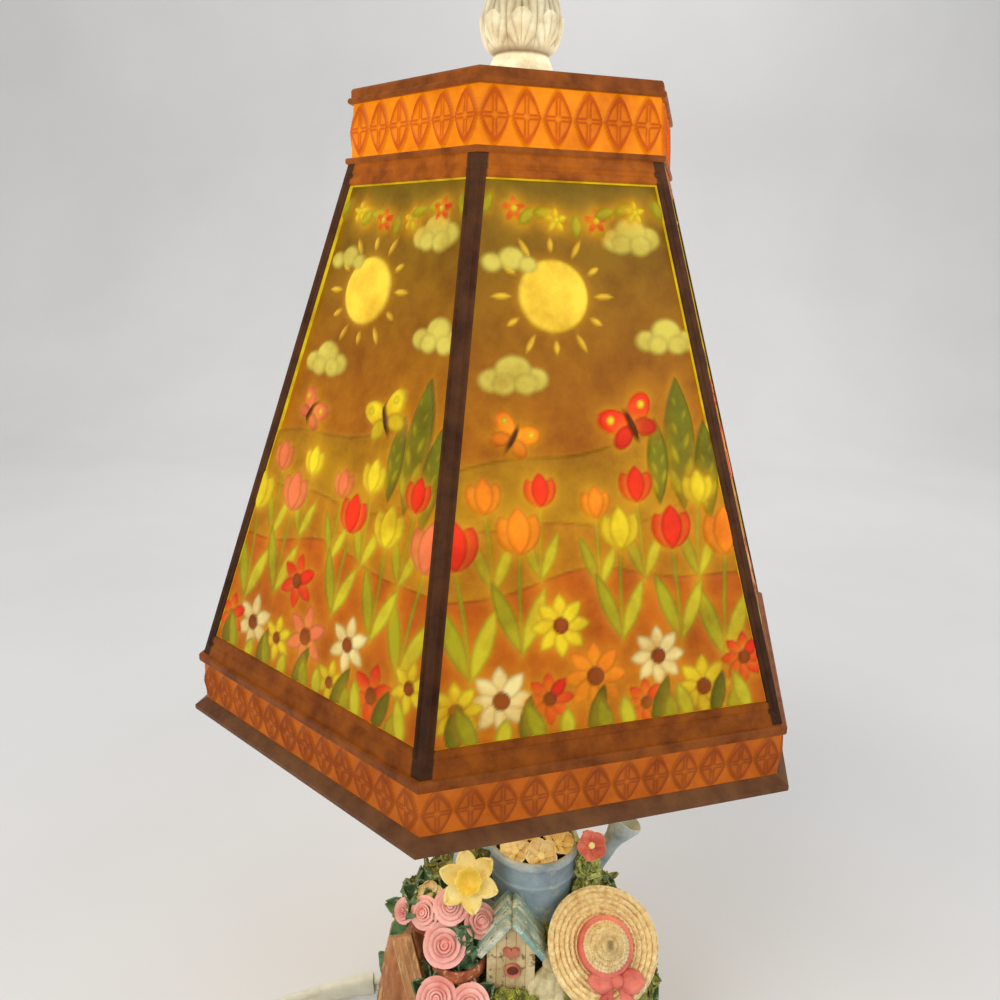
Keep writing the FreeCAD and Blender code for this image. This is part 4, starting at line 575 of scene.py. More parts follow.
# %% Shade: frame of one casting
start_fresh()
bpy.ops.mesh.primitive_circle_add(vertices=len(SECTION), radius=0.01, fill_type="NGON")
side_frame = named("side_frame")
for vertex, (radius, z) in zip(side_frame.data.vertices, SECTION):
    vertex.co = (flat_radius(radius), -0.06, FOOT + z * MM)
bpy.ops.object.mode_set(mode="EDIT")
bpy.ops.mesh.select_all(action="SELECT")
bpy.ops.mesh.extrude_region_move(TRANSFORM_OT_translate={"value": (0, 0.12, 0)})
for turn in (-1, 1):
    bpy.ops.mesh.select_all(action="SELECT")
    angle = turn * (HALF_SIDE + math.pi / 2)
    bpy.ops.mesh.bisect(plane_co=(0, 0, 0), plane_no=(math.cos(angle), math.sin(angle), 0), use_fill=True,
                        clear_outer=True)
bpy.ops.object.mode_set(mode="OBJECT")
outward(side_frame)


def select_slope(piece):
    """Select the widest face that looks out along the slope."""
    select_only(piece)
    for part in (piece.data.vertices, piece.data.edges, piece.data.polygons):
        part.foreach_set("select", [False] * len(part))
    widest = max((f for f in piece.data.polygons if f.normal.dot(SLOPE_OUT) > 0.99), key=lambda f: f.area)
    widest.select = True
    return widest


def set_inner(piece, corners):
    """Move the corners of the selected face to the nearest of the given places."""
    face = max((f for f in piece.data.polygons if f.select), key=lambda f: f.area)
    middle = sum((Vector(piece.data.vertices[v].co) for v in face.vertices), Vector()) / len(face.vertices)
    for index in face.vertices:
        vertex = piece.data.vertices[index]
        low = vertex.co.z < middle.z
        left = vertex.co.y < 0
        vertex.co = corners[(0 if left else 1) if low else (3 if left else 2)]


def inset_to(piece, corners):
    select_slope(piece)
    bpy.ops.object.mode_set(mode="EDIT")
    bpy.ops.mesh.select_mode(type="FACE")
    bpy.ops.mesh.inset(thickness=0.001, depth=0.0)
    bpy.ops.object.mode_set(mode="OBJECT")
    set_inner(piece, corners)


def between(share):
    """Corners between the slope's own corners and the panel's."""
    outer = [on_slope(z, side * slope_radius(z) / 2) for z, side in
             ((SLOPE_LOW, -1), (SLOPE_LOW, 1), (SLOPE_HIGH, 1), (SLOPE_HIGH, -1))]
    return [a.lerp(b, share) for a, b in zip(outer, panel_corners)]


STEPS = [(0.42, 0.0), (0.52, -0.35), (0.62, -0.35), (0.72, 0.05), (0.92, 0.05), (1.0, -0.5), (1.012, -1.6)]
for share, lift in STEPS:
    inset_to(side_frame, [corner + SLOPE_OUT * lift * MM for corner in between(share)])
smooth(side_frame, 25)
print("side frame faces", len(side_frame.data.polygons))

# %% [markdown]
# The picture panels and the two bands are fine relief, cast and then painted. Relief like that is
# easiest as a dense grid: each point is lifted by the sum of the motifs' rounded forms, and gets the
# motifs' paint in the same pass, with painted shade at their rims and in grooves and a painted glow
# round them. A motif is a signed distance, which is negative inside its outline.
# The garden on these panels, with its hills, tulips, cypresses, sun and butterflies, is a plain design
# of its own.

# %% Relief: outlines as signed distances, in millimetres
def circle(s, t, a, b, radius):
    return np.hypot(s - a, t - b) - radius


def turned_axes(s, t, a, b, degrees):
    """Coordinates about a place, with the second axis turned from straight up."""
    angle = math.radians(degrees)
    x, y = s - a, t - b
    return x * math.cos(angle) + y * math.sin(angle), -x * math.sin(angle) + y * math.cos(angle)


def oval(s, t, a, b, half_width, half_height, degrees=0.0):
    x, y = turned_axes(s, t, a, b, degrees)
    return (np.hypot(x / half_width, y / half_height) - 1) * min(half_width, half_height)


def leaf_form(s, t, a, b, length, width, degrees=0.0):
    """A pointed leaf that grows from its foot: the overlap of two circles."""
    x, y = turned_axes(s, t, a, b, degrees)
    y = y - length / 2
    radius = (length ** 2 / 4 + width ** 2 / 4) / width
    offset = radius - width / 2
    return np.maximum(np.hypot(x - offset, y), np.hypot(x + offset, y)) - radius


def strip(s, t, points, half_width):
    """A line of even width through points."""
    best = np.full(s.shape, 1e9)
    for (a, b), (c, d) in zip(points, points[1:]):
        run = np.array([c - a, d - b])
        share = np.clip(((s - a) * run[0] + (t - b) * run[1]) / run.dot(run), 0, 1)
        best = np.minimum(best, np.hypot(s - a - share * run[0], t - b - share * run[1]))
    return best - half_width


class Relief:
    """Heights and paint over a grid of places s, t in millimetres."""

    def __init__(self, s, t, colour):
        self.s, self.t = s, t
        self.height = np.zeros(s.shape)
        self.colour = np.zeros(s.shape + (3,)) + colour

    def lay(self, distance, colour, level=0.3, rise=0.7, roundness=2.0, glow_halo=None, edge=0.25, rim_shade=0.55):
        """Lay a motif over what is there: a rounded form with painted shade towards its rim, and a painted
        glow halo round it.
        """
        # Painted glow: a soft warm halo of light round the motif, where its light spreads in the resin.
        if glow_halo is not None:
            near = np.exp(-np.clip(distance, 0, None) / 1.2)[..., None] * 0.34
            self.colour = self.colour * (1 - near) + glow_halo * near
        cover = np.clip(0.5 - distance / (2 * edge), 0, 1)
        inside = np.clip(-distance / roundness, 0, 1)
        form = level + rise * np.sqrt(1 - (1 - inside) ** 2)
        self.height = self.height * (1 - cover) + form * cover
        # Painted shade: the motif's colour darkens towards its rim.
        shade = (rim_shade + (1 - rim_shade) * np.clip(-distance / 0.9, 0, 1))[..., None]
        cover = cover[..., None]
        self.colour = self.colour * (1 - cover) + colour * shade * cover


RED, ORANGE, YELLOW = screen(238, 52, 20), screen(250, 138, 22), screen(236, 208, 34)
PINK, WHITE = screen(236, 120, 70), screen(246, 226, 150)
DEEP_LEAF, LEAF, SOFT_LEAF = screen(112, 110, 16), screen(170, 160, 22), screen(206, 190, 36)
# The colour of the painted glow halo round the motifs.
GLOW_HALO = screen(226, 158, 24)
CLOUD = screen(206, 188, 78)


def tulip(relief, a, b, size, colour, lean=0.0):
    """Stem, two long leaves and a cup of three petals."""
    s, t = relief.s, relief.t
    top = (a + lean, b + size * 3.0)
    relief.lay(strip(s, t, [(a, b), (a + lean * 0.3, b + size * 1.6), top], 0.55), LEAF, 0.3, 0.3, 0.6)
    relief.lay(leaf_form(s, t, a, b, size * 2.3, size * 0.5, 20), LEAF, 0.35, 0.35, 1.0, GLOW_HALO)
    relief.lay(leaf_form(s, t, a, b, size * 2.0, size * 0.5, -24), SOFT_LEAF, 0.35, 0.35, 1.0, GLOW_HALO)
    for turn, share, tone in ((26, 0.92, 0.85), (-26, 0.92, 0.85), (0, 1.0, 1.0)):
        petal = leaf_form(s, t, top[0], top[1] - size * 0.2, size * 1.35 * share, size * 0.72, turn)
        relief.lay(petal, colour * tone, 0.55, 0.6, 1.6, GLOW_HALO)


def daisy(relief, a, b, size, petals, colour, heart):
    s, t = relief.s, relief.t
    for k in range(petals):
        turn = k * 360.0 / petals
        relief.lay(leaf_form(s, t, a, b, size, size * 0.5, turn), colour, 0.5, 0.45, 1.2, GLOW_HALO)
    relief.lay(circle(s, t, a, b, size * 0.27), heart, 0.8, 0.5, 1.0)


def butterfly(relief, a, b, size, colour, turn):
    s, t = relief.s, relief.t

    def outwards(degrees, reach):
        angle = math.radians(degrees)
        return a - math.sin(angle) * size * reach, b + math.cos(angle) * size * reach

    for side in (-1, 1):
        upper, lower = turn + side * 52, turn + side * 118
        fore_wing = oval(s, t, *outwards(upper, 0.62), size * 0.40, size * 0.60, upper)
        relief.lay(fore_wing, colour, 0.5, 0.5, 1.4, GLOW_HALO)
        hind_wing = oval(s, t, *outwards(lower, 0.48), size * 0.30, size * 0.44, lower)
        relief.lay(hind_wing, colour * 0.8, 0.5, 0.4, 1.2, GLOW_HALO)
        relief.lay(circle(s, t, *outwards(upper, 0.78), size * 0.14), YELLOW, 0.95, 0.2, 0.6)
    relief.lay(oval(s, t, a, b, size * 0.12, size * 0.55, turn), screen(96, 50, 12), 0.8, 0.6, 0.6)


def cypress(relief, a, b, height, width):
    s, t = relief.s, relief.t
    relief.lay(leaf_form(s, t, a, b, height, width, 0), DEEP_LEAF, 0.45, 0.8, 2.4, GLOW_HALO)
    for k in range(7):
        share = 0.12 + 0.11 * k
        lobe = width * 0.32 * (1.1 - share)
        side = 1 if k % 2 else -1
        spray = leaf_form(s, t, a + side * width * 0.10, b + height * share, lobe * 2.6, lobe, -side * 18)
        relief.lay(spray, LEAF * 0.9, 0.9, 0.45, 1.0)


def hill(relief, height, swell, shift, colour, level):
    s, t = relief.s, relief.t
    edge = t - (height + swell * np.sin((s + shift) / 19.0) + swell * 0.4 * np.sin((s - shift) / 7.0))
    # The hill's edge gets a painted glow halo of its own.
    relief.lay(edge, colour, level, 0.5, 3.0, screen(206, 150, 26))


def picture(s, t, variant):
    """The garden of one panel; the variants differ in their flowers and their order."""
    sky = np.clip(t / 131.0, 0, 1)[..., None]
    relief = Relief(s, t, screen(200, 100, 8) * (1 - sky) + screen(118, 92, 12) * sky)
    flip = -1 if variant == 1 else 1
    relief.lay(circle(s, t, -7 * flip, 104, 9.0), screen(246, 206, 60), 0.15, 0.6, 5.0, GLOW_HALO)
    for k in range(12):
        turn = k * 30.0
        a = -7 * flip - math.sin(math.radians(turn)) * 10.6
        b = 104 + math.cos(math.radians(turn)) * 10.6
        ray = leaf_form(s, t, a, b, 5.2 if k % 2 else 3.6, 1.5, turn)
        relief.lay(ray, screen(240, 190, 50), 0.1, 0.4, 0.8)
    for a, b, size in ((10, 118, 3.0), (19, 118.5, 3.2), (14.5, 120, 4.0), (12, 117, 2.6), (17, 116.8, 2.8),
                       (-24, 84, 3.0), (-13, 84, 3.0), (-18.5, 86, 4.2), (-21, 83, 2.8), (-15.5, 83, 2.8),
                       (17, 93, 2.8), (28, 93, 2.8), (22.5, 95, 3.8), (20, 92, 2.6), (25.5, 92, 2.6),
                       (-22, 112, 2.4), (-17, 113, 3.0), (-13, 111.5, 2.2)):
        # Each cloud puff gets a lighter painted shade at its rim.
        puff = oval(s, t, a * flip, b, size * 1.1, size * 0.92)
        relief.lay(puff, CLOUD, 0.05, 0.5, 2.5, edge=0.5, rim_shade=0.72)
    hill(relief, 66, 3.0, 9 * flip, screen(166, 116, 12), 0.15)
    hill(relief, 52, 4.0, -22 * flip, screen(176, 112, 12), 0.22)
    for a, b, tall in ((24, 50, 34), (31, 47, 26), (17.5, 52, 22)):
        cypress(relief, a * flip, b, tall, tall * 0.26)
    hill(relief, 34, 3.0, 30 * flip, screen(190, 92, 10), 0.3)
    first, second, third = ((RED, ORANGE, YELLOW), (ORANGE, RED, PINK), (YELLOW, PINK, RED))[variant]
    for a, b, size, colour, lean in (
            (-27, 34, 6.6, second, -1), (-15, 36, 6.2, first, 1), (27, 33, 6.6, third, 1),
            (12, 34, 6.8, first, -1), (0, 33, 6.0, second, 0), (-34, 14, 9.2, first, -2),
            (-21, 19, 8.4, second, 1), (33, 12, 9.4, second, 2), (21, 18, 8.2, first, -1),
            (5, 20, 7.8, third, 1)):
        tulip(relief, a * flip, b, size, colour, lean * flip)
    for a, b, size, colour in (
            (-11, 25, 7.6, third), (14, 15, 7.4, WHITE), (-3, 12, 8.6, second), (-27, 9, 8.2, WHITE),
            (26, 6, 8.0, third), (-38, 8, 6.8, third), (38, 12, 6.6, first), (-15, 8, 6.4, first),
            (10, 4, 6.0, first)):
        daisy(relief, a * flip, b, size, 6 if variant == 2 else 8, colour, screen(150, 70, 14))
    for k in range(15):
        a = -39 + k * 5.6
        relief.lay(leaf_form(s, t, a, -3, 11 + 3 * math.sin(k * 2.3), 4.2, 22 * math.sin(k * 1.9)),
                   (DEEP_LEAF, LEAF, SOFT_LEAF)[k % 3], 0.5, 0.5, 1.4, GLOW_HALO)
    butterfly(relief, 11 * flip, 72 if variant != 1 else 86, 7.5, first, 24 * flip)
    butterfly(relief, -20 * flip, 70, 6.0, second, -30 * flip)
    for k in range(9):
        along = k / 8.0
        a = (-21 + 42 * along) * flip
        b = 127.5 - 4.5 * math.sin(math.pi * along)
        vine_leaf = leaf_form(s, t, a, b + 1, 6.0, 3.0, 150 + 60 * math.sin(k * 1.7))
        relief.lay(vine_leaf, LEAF, 0.4, 0.4, 1.0, GLOW_HALO)
        if k % 2:
            daisy(relief, a, b - 1.0, 3.1, 5, first if k % 4 == 1 else third, YELLOW)
    return relief


# %% Relief: a grid lifted by its motifs
def relief_slab(name, low, high, out, columns, rows, half_low, half_high, draw, depth):
    """A closed slab: a lifted grid in front and a flat back, so many millimetres behind the lowest place."""
    start_fresh()
    bpy.ops.mesh.primitive_grid_add(x_subdivisions=columns, y_subdivisions=rows, size=2)
    slab = named(name)
    flat = points_of(slab)
    across, share = flat[:, 0], (flat[:, 1] + 1) / 2
    length = (high - low).length / MM
    s = across * (half_low + (half_high - half_low) * share)
    t = share * length
    relief = draw(s, t)
    up = np.array((high - low).normalized())
    places = np.array(low) + np.outer(t, up) * MM + np.outer(relief.height, np.array(out)) * MM
    places[:, 1] += s * MM
    set_points(slab, places)
    set_paint_and_shade(slab, relief.colour)
    select_only(slab)
    bpy.ops.object.mode_set(mode="EDIT")
    bpy.ops.mesh.select_mode(type="EDGE")
    bpy.ops.mesh.select_all(action="DESELECT")
    bpy.ops.mesh.select_non_manifold()
    bpy.ops.mesh.extrude_region_move(TRANSFORM_OT_translate={"value": tuple(-out * MM)})
    bpy.ops.mesh.edge_face_add()
    bpy.ops.object.mode_set(mode="OBJECT")
    rows_now = points_of(slab)
    lift = (rows_now[len(flat):] - np.array(low)) @ np.array(out)
    rows_now[len(flat):] -= np.outer(lift + depth * MM, np.array(out))
    set_points(slab, rows_now)
    outward(slab)
    select_only(slab)
    bpy.ops.object.shade_smooth()
    return slab


def picture_slab(variant):
    floor_depth = SLOPE_OUT * 1.45 * MM
    low, high = on_slope(PANEL_FOOT, 0) - floor_depth, on_slope(PANEL_TOP, 0) - floor_depth
    return relief_slab("picture_%d" % variant, low, high, SLOPE_OUT, 170, 250,
                       slope_radius(PANEL_FOOT) / 2 - POST + 0.4, slope_radius(PANEL_TOP) / 2 - POST + 0.4,
                       lambda s, t: picture(s, t, variant), 0.6)


pictures = [picture_slab(variant) for variant in range(3)]
for piece in pictures:
    piece.data.materials.append(picture_paint)
print("points in a picture", len(pictures[0].data.vertices))


# %% [markdown]
# A band is a plain strip with an even row of lozenges. Each lozenge is round at its top and bottom and
# pointed at its sides, with a raised rim and a cross of double bars in its sunk middle.

# %% Bands of lozenges
def lozenge_row(count, width, height, ground, darker, middle_t):
    """A drawing function for a band with its lozenges."""
    def draw(s, t):
        relief = Relief(s, t, ground)
        length = (s.max() - s.min()) / count
        cell = (s - s.min()) / length
        a = np.abs((cell - np.floor(cell) - 0.5) * length)
        b = np.abs(t - middle_t)
        u, v = a / (width / 2), b / (height / 2)
        outline = u ** 1.65 + v ** 1.05
        body = np.clip((1.0 - outline) / 0.08, 0, 1)
        sunk = np.clip((0.74 - outline) / 0.08, 0, 1)
        upright_bars = np.clip(1.6 - np.abs(a - 0.42) / 0.20, 0, 1)
        cross_bars = np.clip(1.6 - np.abs(b - 0.42) / 0.20, 0, 1)
        heart = np.clip(1.6 - np.hypot(a, b) / 0.55, 0, 1)
        figure = np.maximum(upright_bars, cross_bars) * sunk * (1 - heart)
        relief.height = 0.05 + 0.85 * body - 0.55 * sunk + 0.45 * figure + 0.3 * heart
        inner = relief.colour * 0.72 + darker * 0.28
        for cover, tone in ((body, darker), (sunk, inner), (figure, darker * 0.95),
                            (heart, relief.colour * 0.9)):
            relief.colour = relief.colour * (1 - cover[..., None]) + tone * cover[..., None]
        # Painted shade: a dark line in the groove round each lozenge's outline.
        groove_shade = np.exp(-((outline - 1.03) / 0.05) ** 2)[..., None] * 0.30
        relief.colour = relief.colour * (1 - groove_shade)
        return relief
    return draw


def band_slab(name, radii, heights, count, size, ground, darker, rows):
    low = Vector((flat_radius(radii[0]), 0, FOOT + heights[0] * MM))
    high = Vector((flat_radius(radii[1]), 0, FOOT + heights[1] * MM))
    out = Vector((0, 1, 0)).cross((high - low).normalized())
    middle = (high - low).length / MM / 2
    draw = lozenge_row(count, size[0], size[1], ground, darker, middle)
    band = relief_slab(name, low, high, out, count * 26, rows, radii[0] / 2, radii[1] / 2, draw, 0.5)
    band.data.materials.append(band_paint)
    return band


upper_band = band_slab("upper_band", (47.6, 46.7), (157.6, 171.2), 6, (7.5, 12.8), screen(252, 142, 12),
                       screen(206, 90, 10), 48)
lower_band = band_slab("lower_band", (95.2, 95.2), (3.4, 15.0), 12, (7.5, 11.2), screen(198, 102, 24),
                       screen(156, 74, 22), 44)
print("points in the bands", len(upper_band.data.vertices), len(lower_band.data.vertices))


# %% Shade: paint of the frame, by the place of each face
def near_corner(tree, reach):
    """One within so many millimetres of the shade's six corner planes, and nought between them."""
    def step(operation, first, second):
        node = tree.nodes.new("ShaderNodeMath")
        node.operation = operation
        for socket, value in zip(node.inputs, (first, second)):
            if isinstance(value, float):
                socket.default_value = value
            elif value is not None:
                tree.links.new(value, socket)
        return node.outputs["Value"]

    place = tree.nodes.new("ShaderNodeTexCoord")
    parts = tree.nodes.new("ShaderNodeSeparateXYZ")
    tree.links.new(place.outputs["Object"], parts.inputs["Vector"])
    x, y = parts.outputs["X"], parts.outputs["Y"]
    turn = step("SUBTRACT", step("ARCTAN2", y, x), math.radians(NEAR_CORNER))
    sine = step("SINE", step("PINGPONG", turn, math.pi / 6), None)
    radius = step("SQRT", step("ADD", step("MULTIPLY", x, x), step("MULTIPLY", y, y)), None)
    edge = tree.nodes.new("ShaderNodeMapRange")
    edge.inputs["From Min"].default_value = (reach + 0.2) * MM
    edge.inputs["From Max"].default_value = (reach - 0.2) * MM
    tree.links.new(step("MULTIPLY", radius, sine), edge.inputs["Value"])
    return edge.outputs["Result"]


def lit_tone(name, light, dark, near, far, bright, dim, post=None):
    """Translucent casting in two plain tones, glowing with the distance from the bulb."""
    material, tree, shader = new_material(name)
    clouds = object_noise(tree, 140.0, 5.0, 0.6)
    colour = ramp(tree, clouds, [(0.34, linear(dark)), (0.62, linear(light))])
    if post:
        post_colour = ramp(tree, clouds, [(0.34, linear(post[1])), (0.62, linear(post[0]))])
        colour = mix(tree, "MIX", near_corner(tree, POST * 0.866), colour, post_colour)
    tree.links.new(mix(tree, "MULTIPLY", 1.0, colour, (0.2, 0.2, 0.2, 1)), shader.inputs["Base Color"])
    tree.links.new(colour, shader.inputs["Emission Color"])
    tree.links.new(distance_glow(tree, near, far, bright, dim), shader.inputs["Emission Strength"])
    shader.inputs["Roughness"].default_value = 0.45
    shader.inputs["Specular IOR Level"].default_value = 0.12
    grain = object_noise(tree, 700.0, 3.0)
    add_bump(tree, shader, grain, 0.3, 0.0004)
    return material


rail_tone = lit_tone("rail_tone", (0.72, 0.38, 0.06), (0.54, 0.26, 0.05), 0.075, 0.112, 0.80, 0.38,
                     post=((0.34, 0.20, 0.10), (0.24, 0.13, 0.06)))
edge_tone = lit_tone("inner_edge_tone", (0.90, 0.78, 0.12), (0.74, 0.58, 0.08), 0.06, 0.14, 0.85, 0.6)
skirt_tone = lit_tone("skirt_tone", (0.52, 0.34, 0.20), (0.42, 0.26, 0.16), 0.08, 0.15, 0.6, 0.45)
ledge_tone = lit_tone("ledge_tone", (0.64, 0.34, 0.10), (0.46, 0.23, 0.07), 0.085, 0.115, 0.80, 0.5)
inside_tone = lit_tone("inside_tone", (1.0, 0.86, 0.52), (0.96, 0.74, 0.36), 0.05, 0.15, 1.0, 0.7)
for material in (rail_tone, edge_tone, skirt_tone, ledge_tone, inside_tone):
    side_frame.data.materials.append(material)
for face in side_frame.data.polygons:
    z = (face.center.z - FOOT) / MM
    depth = (face.center - on_slope(z, 0)).dot(SLOPE_OUT) / MM
    if face.normal.x < -0.3:
        face.material_index = 4
    elif z < 17.95 and z > 15.1 or 156.05 < z < 157.7:
        face.material_index = 3
    elif z < 15.1:
        face.material_index = 2
    else:
        face.material_index = 1 if depth < -0.75 else 0

# %% Shade: six castings from one
casting_parts = (("frame", side_frame), ("upper_band", upper_band), ("lower_band", lower_band))
for k in range(6):
    turn = Matrix.Rotation(math.radians(NEAR_CORNER + 30 + 60 * k), 4, "Z")
    parts = list(casting_parts) + [("picture", pictures[k % 3])]
    for word, model in parts:
        piece = copy_of(model, "shade_%s_%d" % (word, k + 1), turn)
        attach(piece, "shade")
        if word == "frame":
            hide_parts("shade_side_%d" % (k + 1))
for model in [side_frame, upper_band, lower_band] + pictures:
    bpy.data.objects.remove(model)

# %% [markdown]
# The rest is the garden on the base and the parts inside. Places below are millimetres in the same
# frame. Three helpers do most of it: one turns a profile by pulling a circle up ring by ring, one bends
# a grid into a petal or leaf, and one stands a model on its place.

# %% Helpers for turned and grown forms
def stand(position, facing=(0, 0, 1), size=1.0, roll=0.0):
    """Where a model made along +Z goes: its foot on the place, its axis along the facing."""
    turn = Vector(facing).to_track_quat("Z", "Y").to_matrix().to_4x4()
    spin = Matrix.Rotation(math.radians(roll), 4, "Z")
    return Matrix.Translation(Vector(position) * MM) @ turn @ spin @ Matrix.Scale(size, 4)


def turned(name, profile, segments=48):
    """A circle, extruded and scaled ring by ring along a profile of (radius, height)."""
    start_fresh()
    radius, height = profile[0]
    bpy.ops.mesh.primitive_circle_add(vertices=segments, radius=radius * MM, fill_type="NGON",
                                      location=(0, 0, height * MM))
    piece = settle(named(name))
    bpy.ops.object.mode_set(mode="EDIT")
    bpy.ops.mesh.select_all(action="SELECT")
    for (before, low), (after, high) in zip(profile, profile[1:]):
        share = after / before
        bpy.ops.mesh.extrude_region_move(TRANSFORM_OT_translate={"value": (0, 0, (high - low) * MM)})
        bpy.ops.transform.resize(value=(share, share, 1), center_override=(0, 0, high * MM))
    bpy.ops.object.mode_set(mode="OBJECT")
    return outward(piece)


def blade(name, width, widest, blunt, cup, arch, rib, thick, columns, rows, lobes=0.0):
    """A leaf or petal one millimetre long, grown along +Y from its foot and arched towards +Z."""
    start_fresh()
    bpy.ops.mesh.primitive_grid_add(x_subdivisions=columns, y_subdivisions=rows, size=2)
    piece = named(name)
    flat = points_of(piece)
    across, along = flat[:, 0], (flat[:, 1] + 1) / 2
    swollen = np.clip(along ** (math.log(0.5) / math.log(widest)), 0.02, 0.98)
    half = width / 2 * np.sin(np.pi * swollen) ** blunt * (1 + lobes * np.abs(np.sin(along * 12.0)))
    lift = cup * width * across ** 2 + arch * along ** 2 - rib * np.exp(-(across / 0.25) ** 2)
    set_points(piece, np.stack([across * half, along, lift], axis=1) * MM)
    modifier(piece, "SOLIDIFY", thickness=thick * MM, offset=0.0)
    return smooth(outward(piece), 60)


def rod(name, points, radii, turns=3):
    """A bent rod through points in millimetres: a NURBS path with a round bevel, made a mesh."""
    start_fresh()
    bpy.ops.curve.primitive_nurbs_path_add()
    path = bpy.context.object
    path.matrix_world = Matrix()
    path.data.splines.clear()
    spline = path.data.splines.new("NURBS")
    spline.points.add(len(points) - 1)
    for control, point, radius in zip(spline.points, points, radii):
        control.co = (*(Vector(point) * MM), 1.0)
        control.radius = radius
    spline.order_u = 3
    spline.use_endpoint_u = True
    path.data.resolution_u = 6
    path.data.bevel_depth = MM
    path.data.bevel_resolution = turns
    path.data.use_fill_caps = True
    bpy.ops.object.convert(target="MESH")
    return smooth(outward(named(name)), 50)


def gather(name, model, matrices):
    """One piece from many copies of a model."""
    return join([copy_of(model, name, matrix) for matrix in matrices], name)


def finished(piece, node_names, slot, body="base", finish=None):
    """Give a piece its slot's finish, or the given one, if it has none yet; hang it on its body, and hide the
    solids that it stands for.
    """
    if not piece.data.materials:
        piece.data.materials.append(finish or FINISHES[slot])
    if node_names:
        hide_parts(*node_names)
    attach(piece, body)
    return piece


def soft_copy(node_name, name, voxel, rounds, lumps, shrink=0.0, only=None):
    """A solid's mesh as a soft casting: merged, remeshed, smoothed and lifted by (scale, depth) noise."""
    piece = bpy.data.objects.new(name, nodes[node_name].data.copy())
    bpy.context.scene.collection.objects.link(piece)
    piece.data.materials.clear()
    outward(piece)
    modifier(piece, "REMESH", mode="VOXEL", voxel_size=voxel * MM)
    modifier(piece, "SMOOTH", iterations=rounds, factor=0.5)
    places = points_of(piece)
    lifts = np.zeros(len(places))
    for index, vertex in enumerate(piece.data.vertices):
        if only is None or only(vertex.co, vertex.normal):
            swell = sum(depth * noise.noise(Vector(vertex.co) * scale) for scale, depth in lumps)
            lifts[index] = swell - shrink
    normals = np.zeros(len(places) * 3)
    piece.data.vertices.foreach_get("normal", normals)
    set_points(piece, places + normals.reshape(-1, 3) * lifts[:, None] * MM)
    select_only(piece)
    bpy.ops.object.shade_smooth()
    return piece


def scattered(piece, count, apart, seed, allowed):
    """Places on a piece, at least so many millimetres apart, each with its face's normal."""
    dice = random.Random(seed)
    faces = [face for face in piece.data.polygons if allowed(face.center, face.normal)]
    chosen = []
    for attempt in range(count * 14):
        face = dice.choice(faces)
        if all((face.center - place).length > apart * MM for place, normal in chosen):
            chosen.append((face.center.copy(), face.normal.copy()))
        if len(chosen) == count:
            break
    return chosen


def looks_up(place, normal):
    return normal.z > -0.3


def leaves_on(name, piece, model, count, apart, size, seed, allowed=looks_up, rise=0.5):
    """Leaves that lie over a piece like shingles, tipped up a little, in different sizes."""
    dice = random.Random(seed + 100)
    matrices = []
    for place, normal in scattered(piece, count, apart, seed, allowed):
        tip = Vector((dice.uniform(-0.5, 0.5), dice.uniform(-0.5, 0.5), dice.uniform(-0.2, 0.6)))
        facing = normal + tip * rise
        scale = size * dice.uniform(0.7, 1.15)
        sunk = place / MM - normal * 0.5
        standing = stand(sunk, facing, scale, dice.uniform(0, 360))
        matrices.append(standing @ Matrix.Translation((0, -0.4 * MM, 0)))
    return gather(name, model, matrices)


# %% Models of leaves, petals and flowers
small_leaf = blade("small_leaf", 0.62, 0.45, 0.8, 0.28, 0.10, 0.05, 0.07, 4, 6)
broad_leaf = blade("broad_leaf", 0.70, 0.42, 0.7, 0.35, 0.22, 0.08, 0.07, 8, 10, 0.10)
moss_tuft = blade("moss_tuft", 0.55, 0.5, 0.6, 0.5, 0.35, 0.0, 0.16, 4, 5)
round_petal = blade("round_petal", 1.05, 0.62, 0.5, 0.22, -0.10, 0.0, 0.08, 8, 8)
star_petal = blade("star_petal", 0.74, 0.5, 0.75, 0.12, 0.06, 0.05, 0.08, 8, 10)


def upright(tilt, turn, outward_shift, size=1.0):
    """Where a petal goes whose tip leans out from the flower's axis by the tilt, at a turn round it."""
    lean = Matrix.Rotation(math.radians(90 - tilt), 4, "X")
    shift = Matrix.Translation((0, outward_shift * MM, 0))
    return Matrix.Rotation(math.radians(turn), 4, "Z") @ shift @ lean @ Matrix.Scale(size, 4)


def shell(start, span, foot, lip, height, roll):
    """A rolled petal of a rose: part of a cup that winds outwards, its lip turned over by the roll."""
    start_fresh()
    bpy.ops.mesh.primitive_grid_add(x_subdivisions=16, y_subdivisions=9, size=2)
    piece = named("rose_shell")
    flat = (points_of(piece)[:, :2] + 1) / 2
    round_way, rise = flat[:, 0], flat[:, 1]
    curl = np.clip((rise - 0.62) / 0.38, 0, 1)
    radius = foot + (lip - foot) * rise ** 0.7 + roll * curl ** 1.4 + 0.09 * lip * round_way
    crest = height * (1 - 0.28 * np.abs(2 * round_way - 1) ** 3.0)
    level = crest * (rise - curl ** 2 * roll)
    angle = math.radians(start) + math.radians(span) * round_way
    set_points(piece, np.stack([radius * np.cos(angle), radius * np.sin(angle), level], axis=1) * MM)
    modifier(piece, "SOLIDIFY", thickness=0.085 * MM, offset=0.0)
    return smooth(outward(piece), 60)


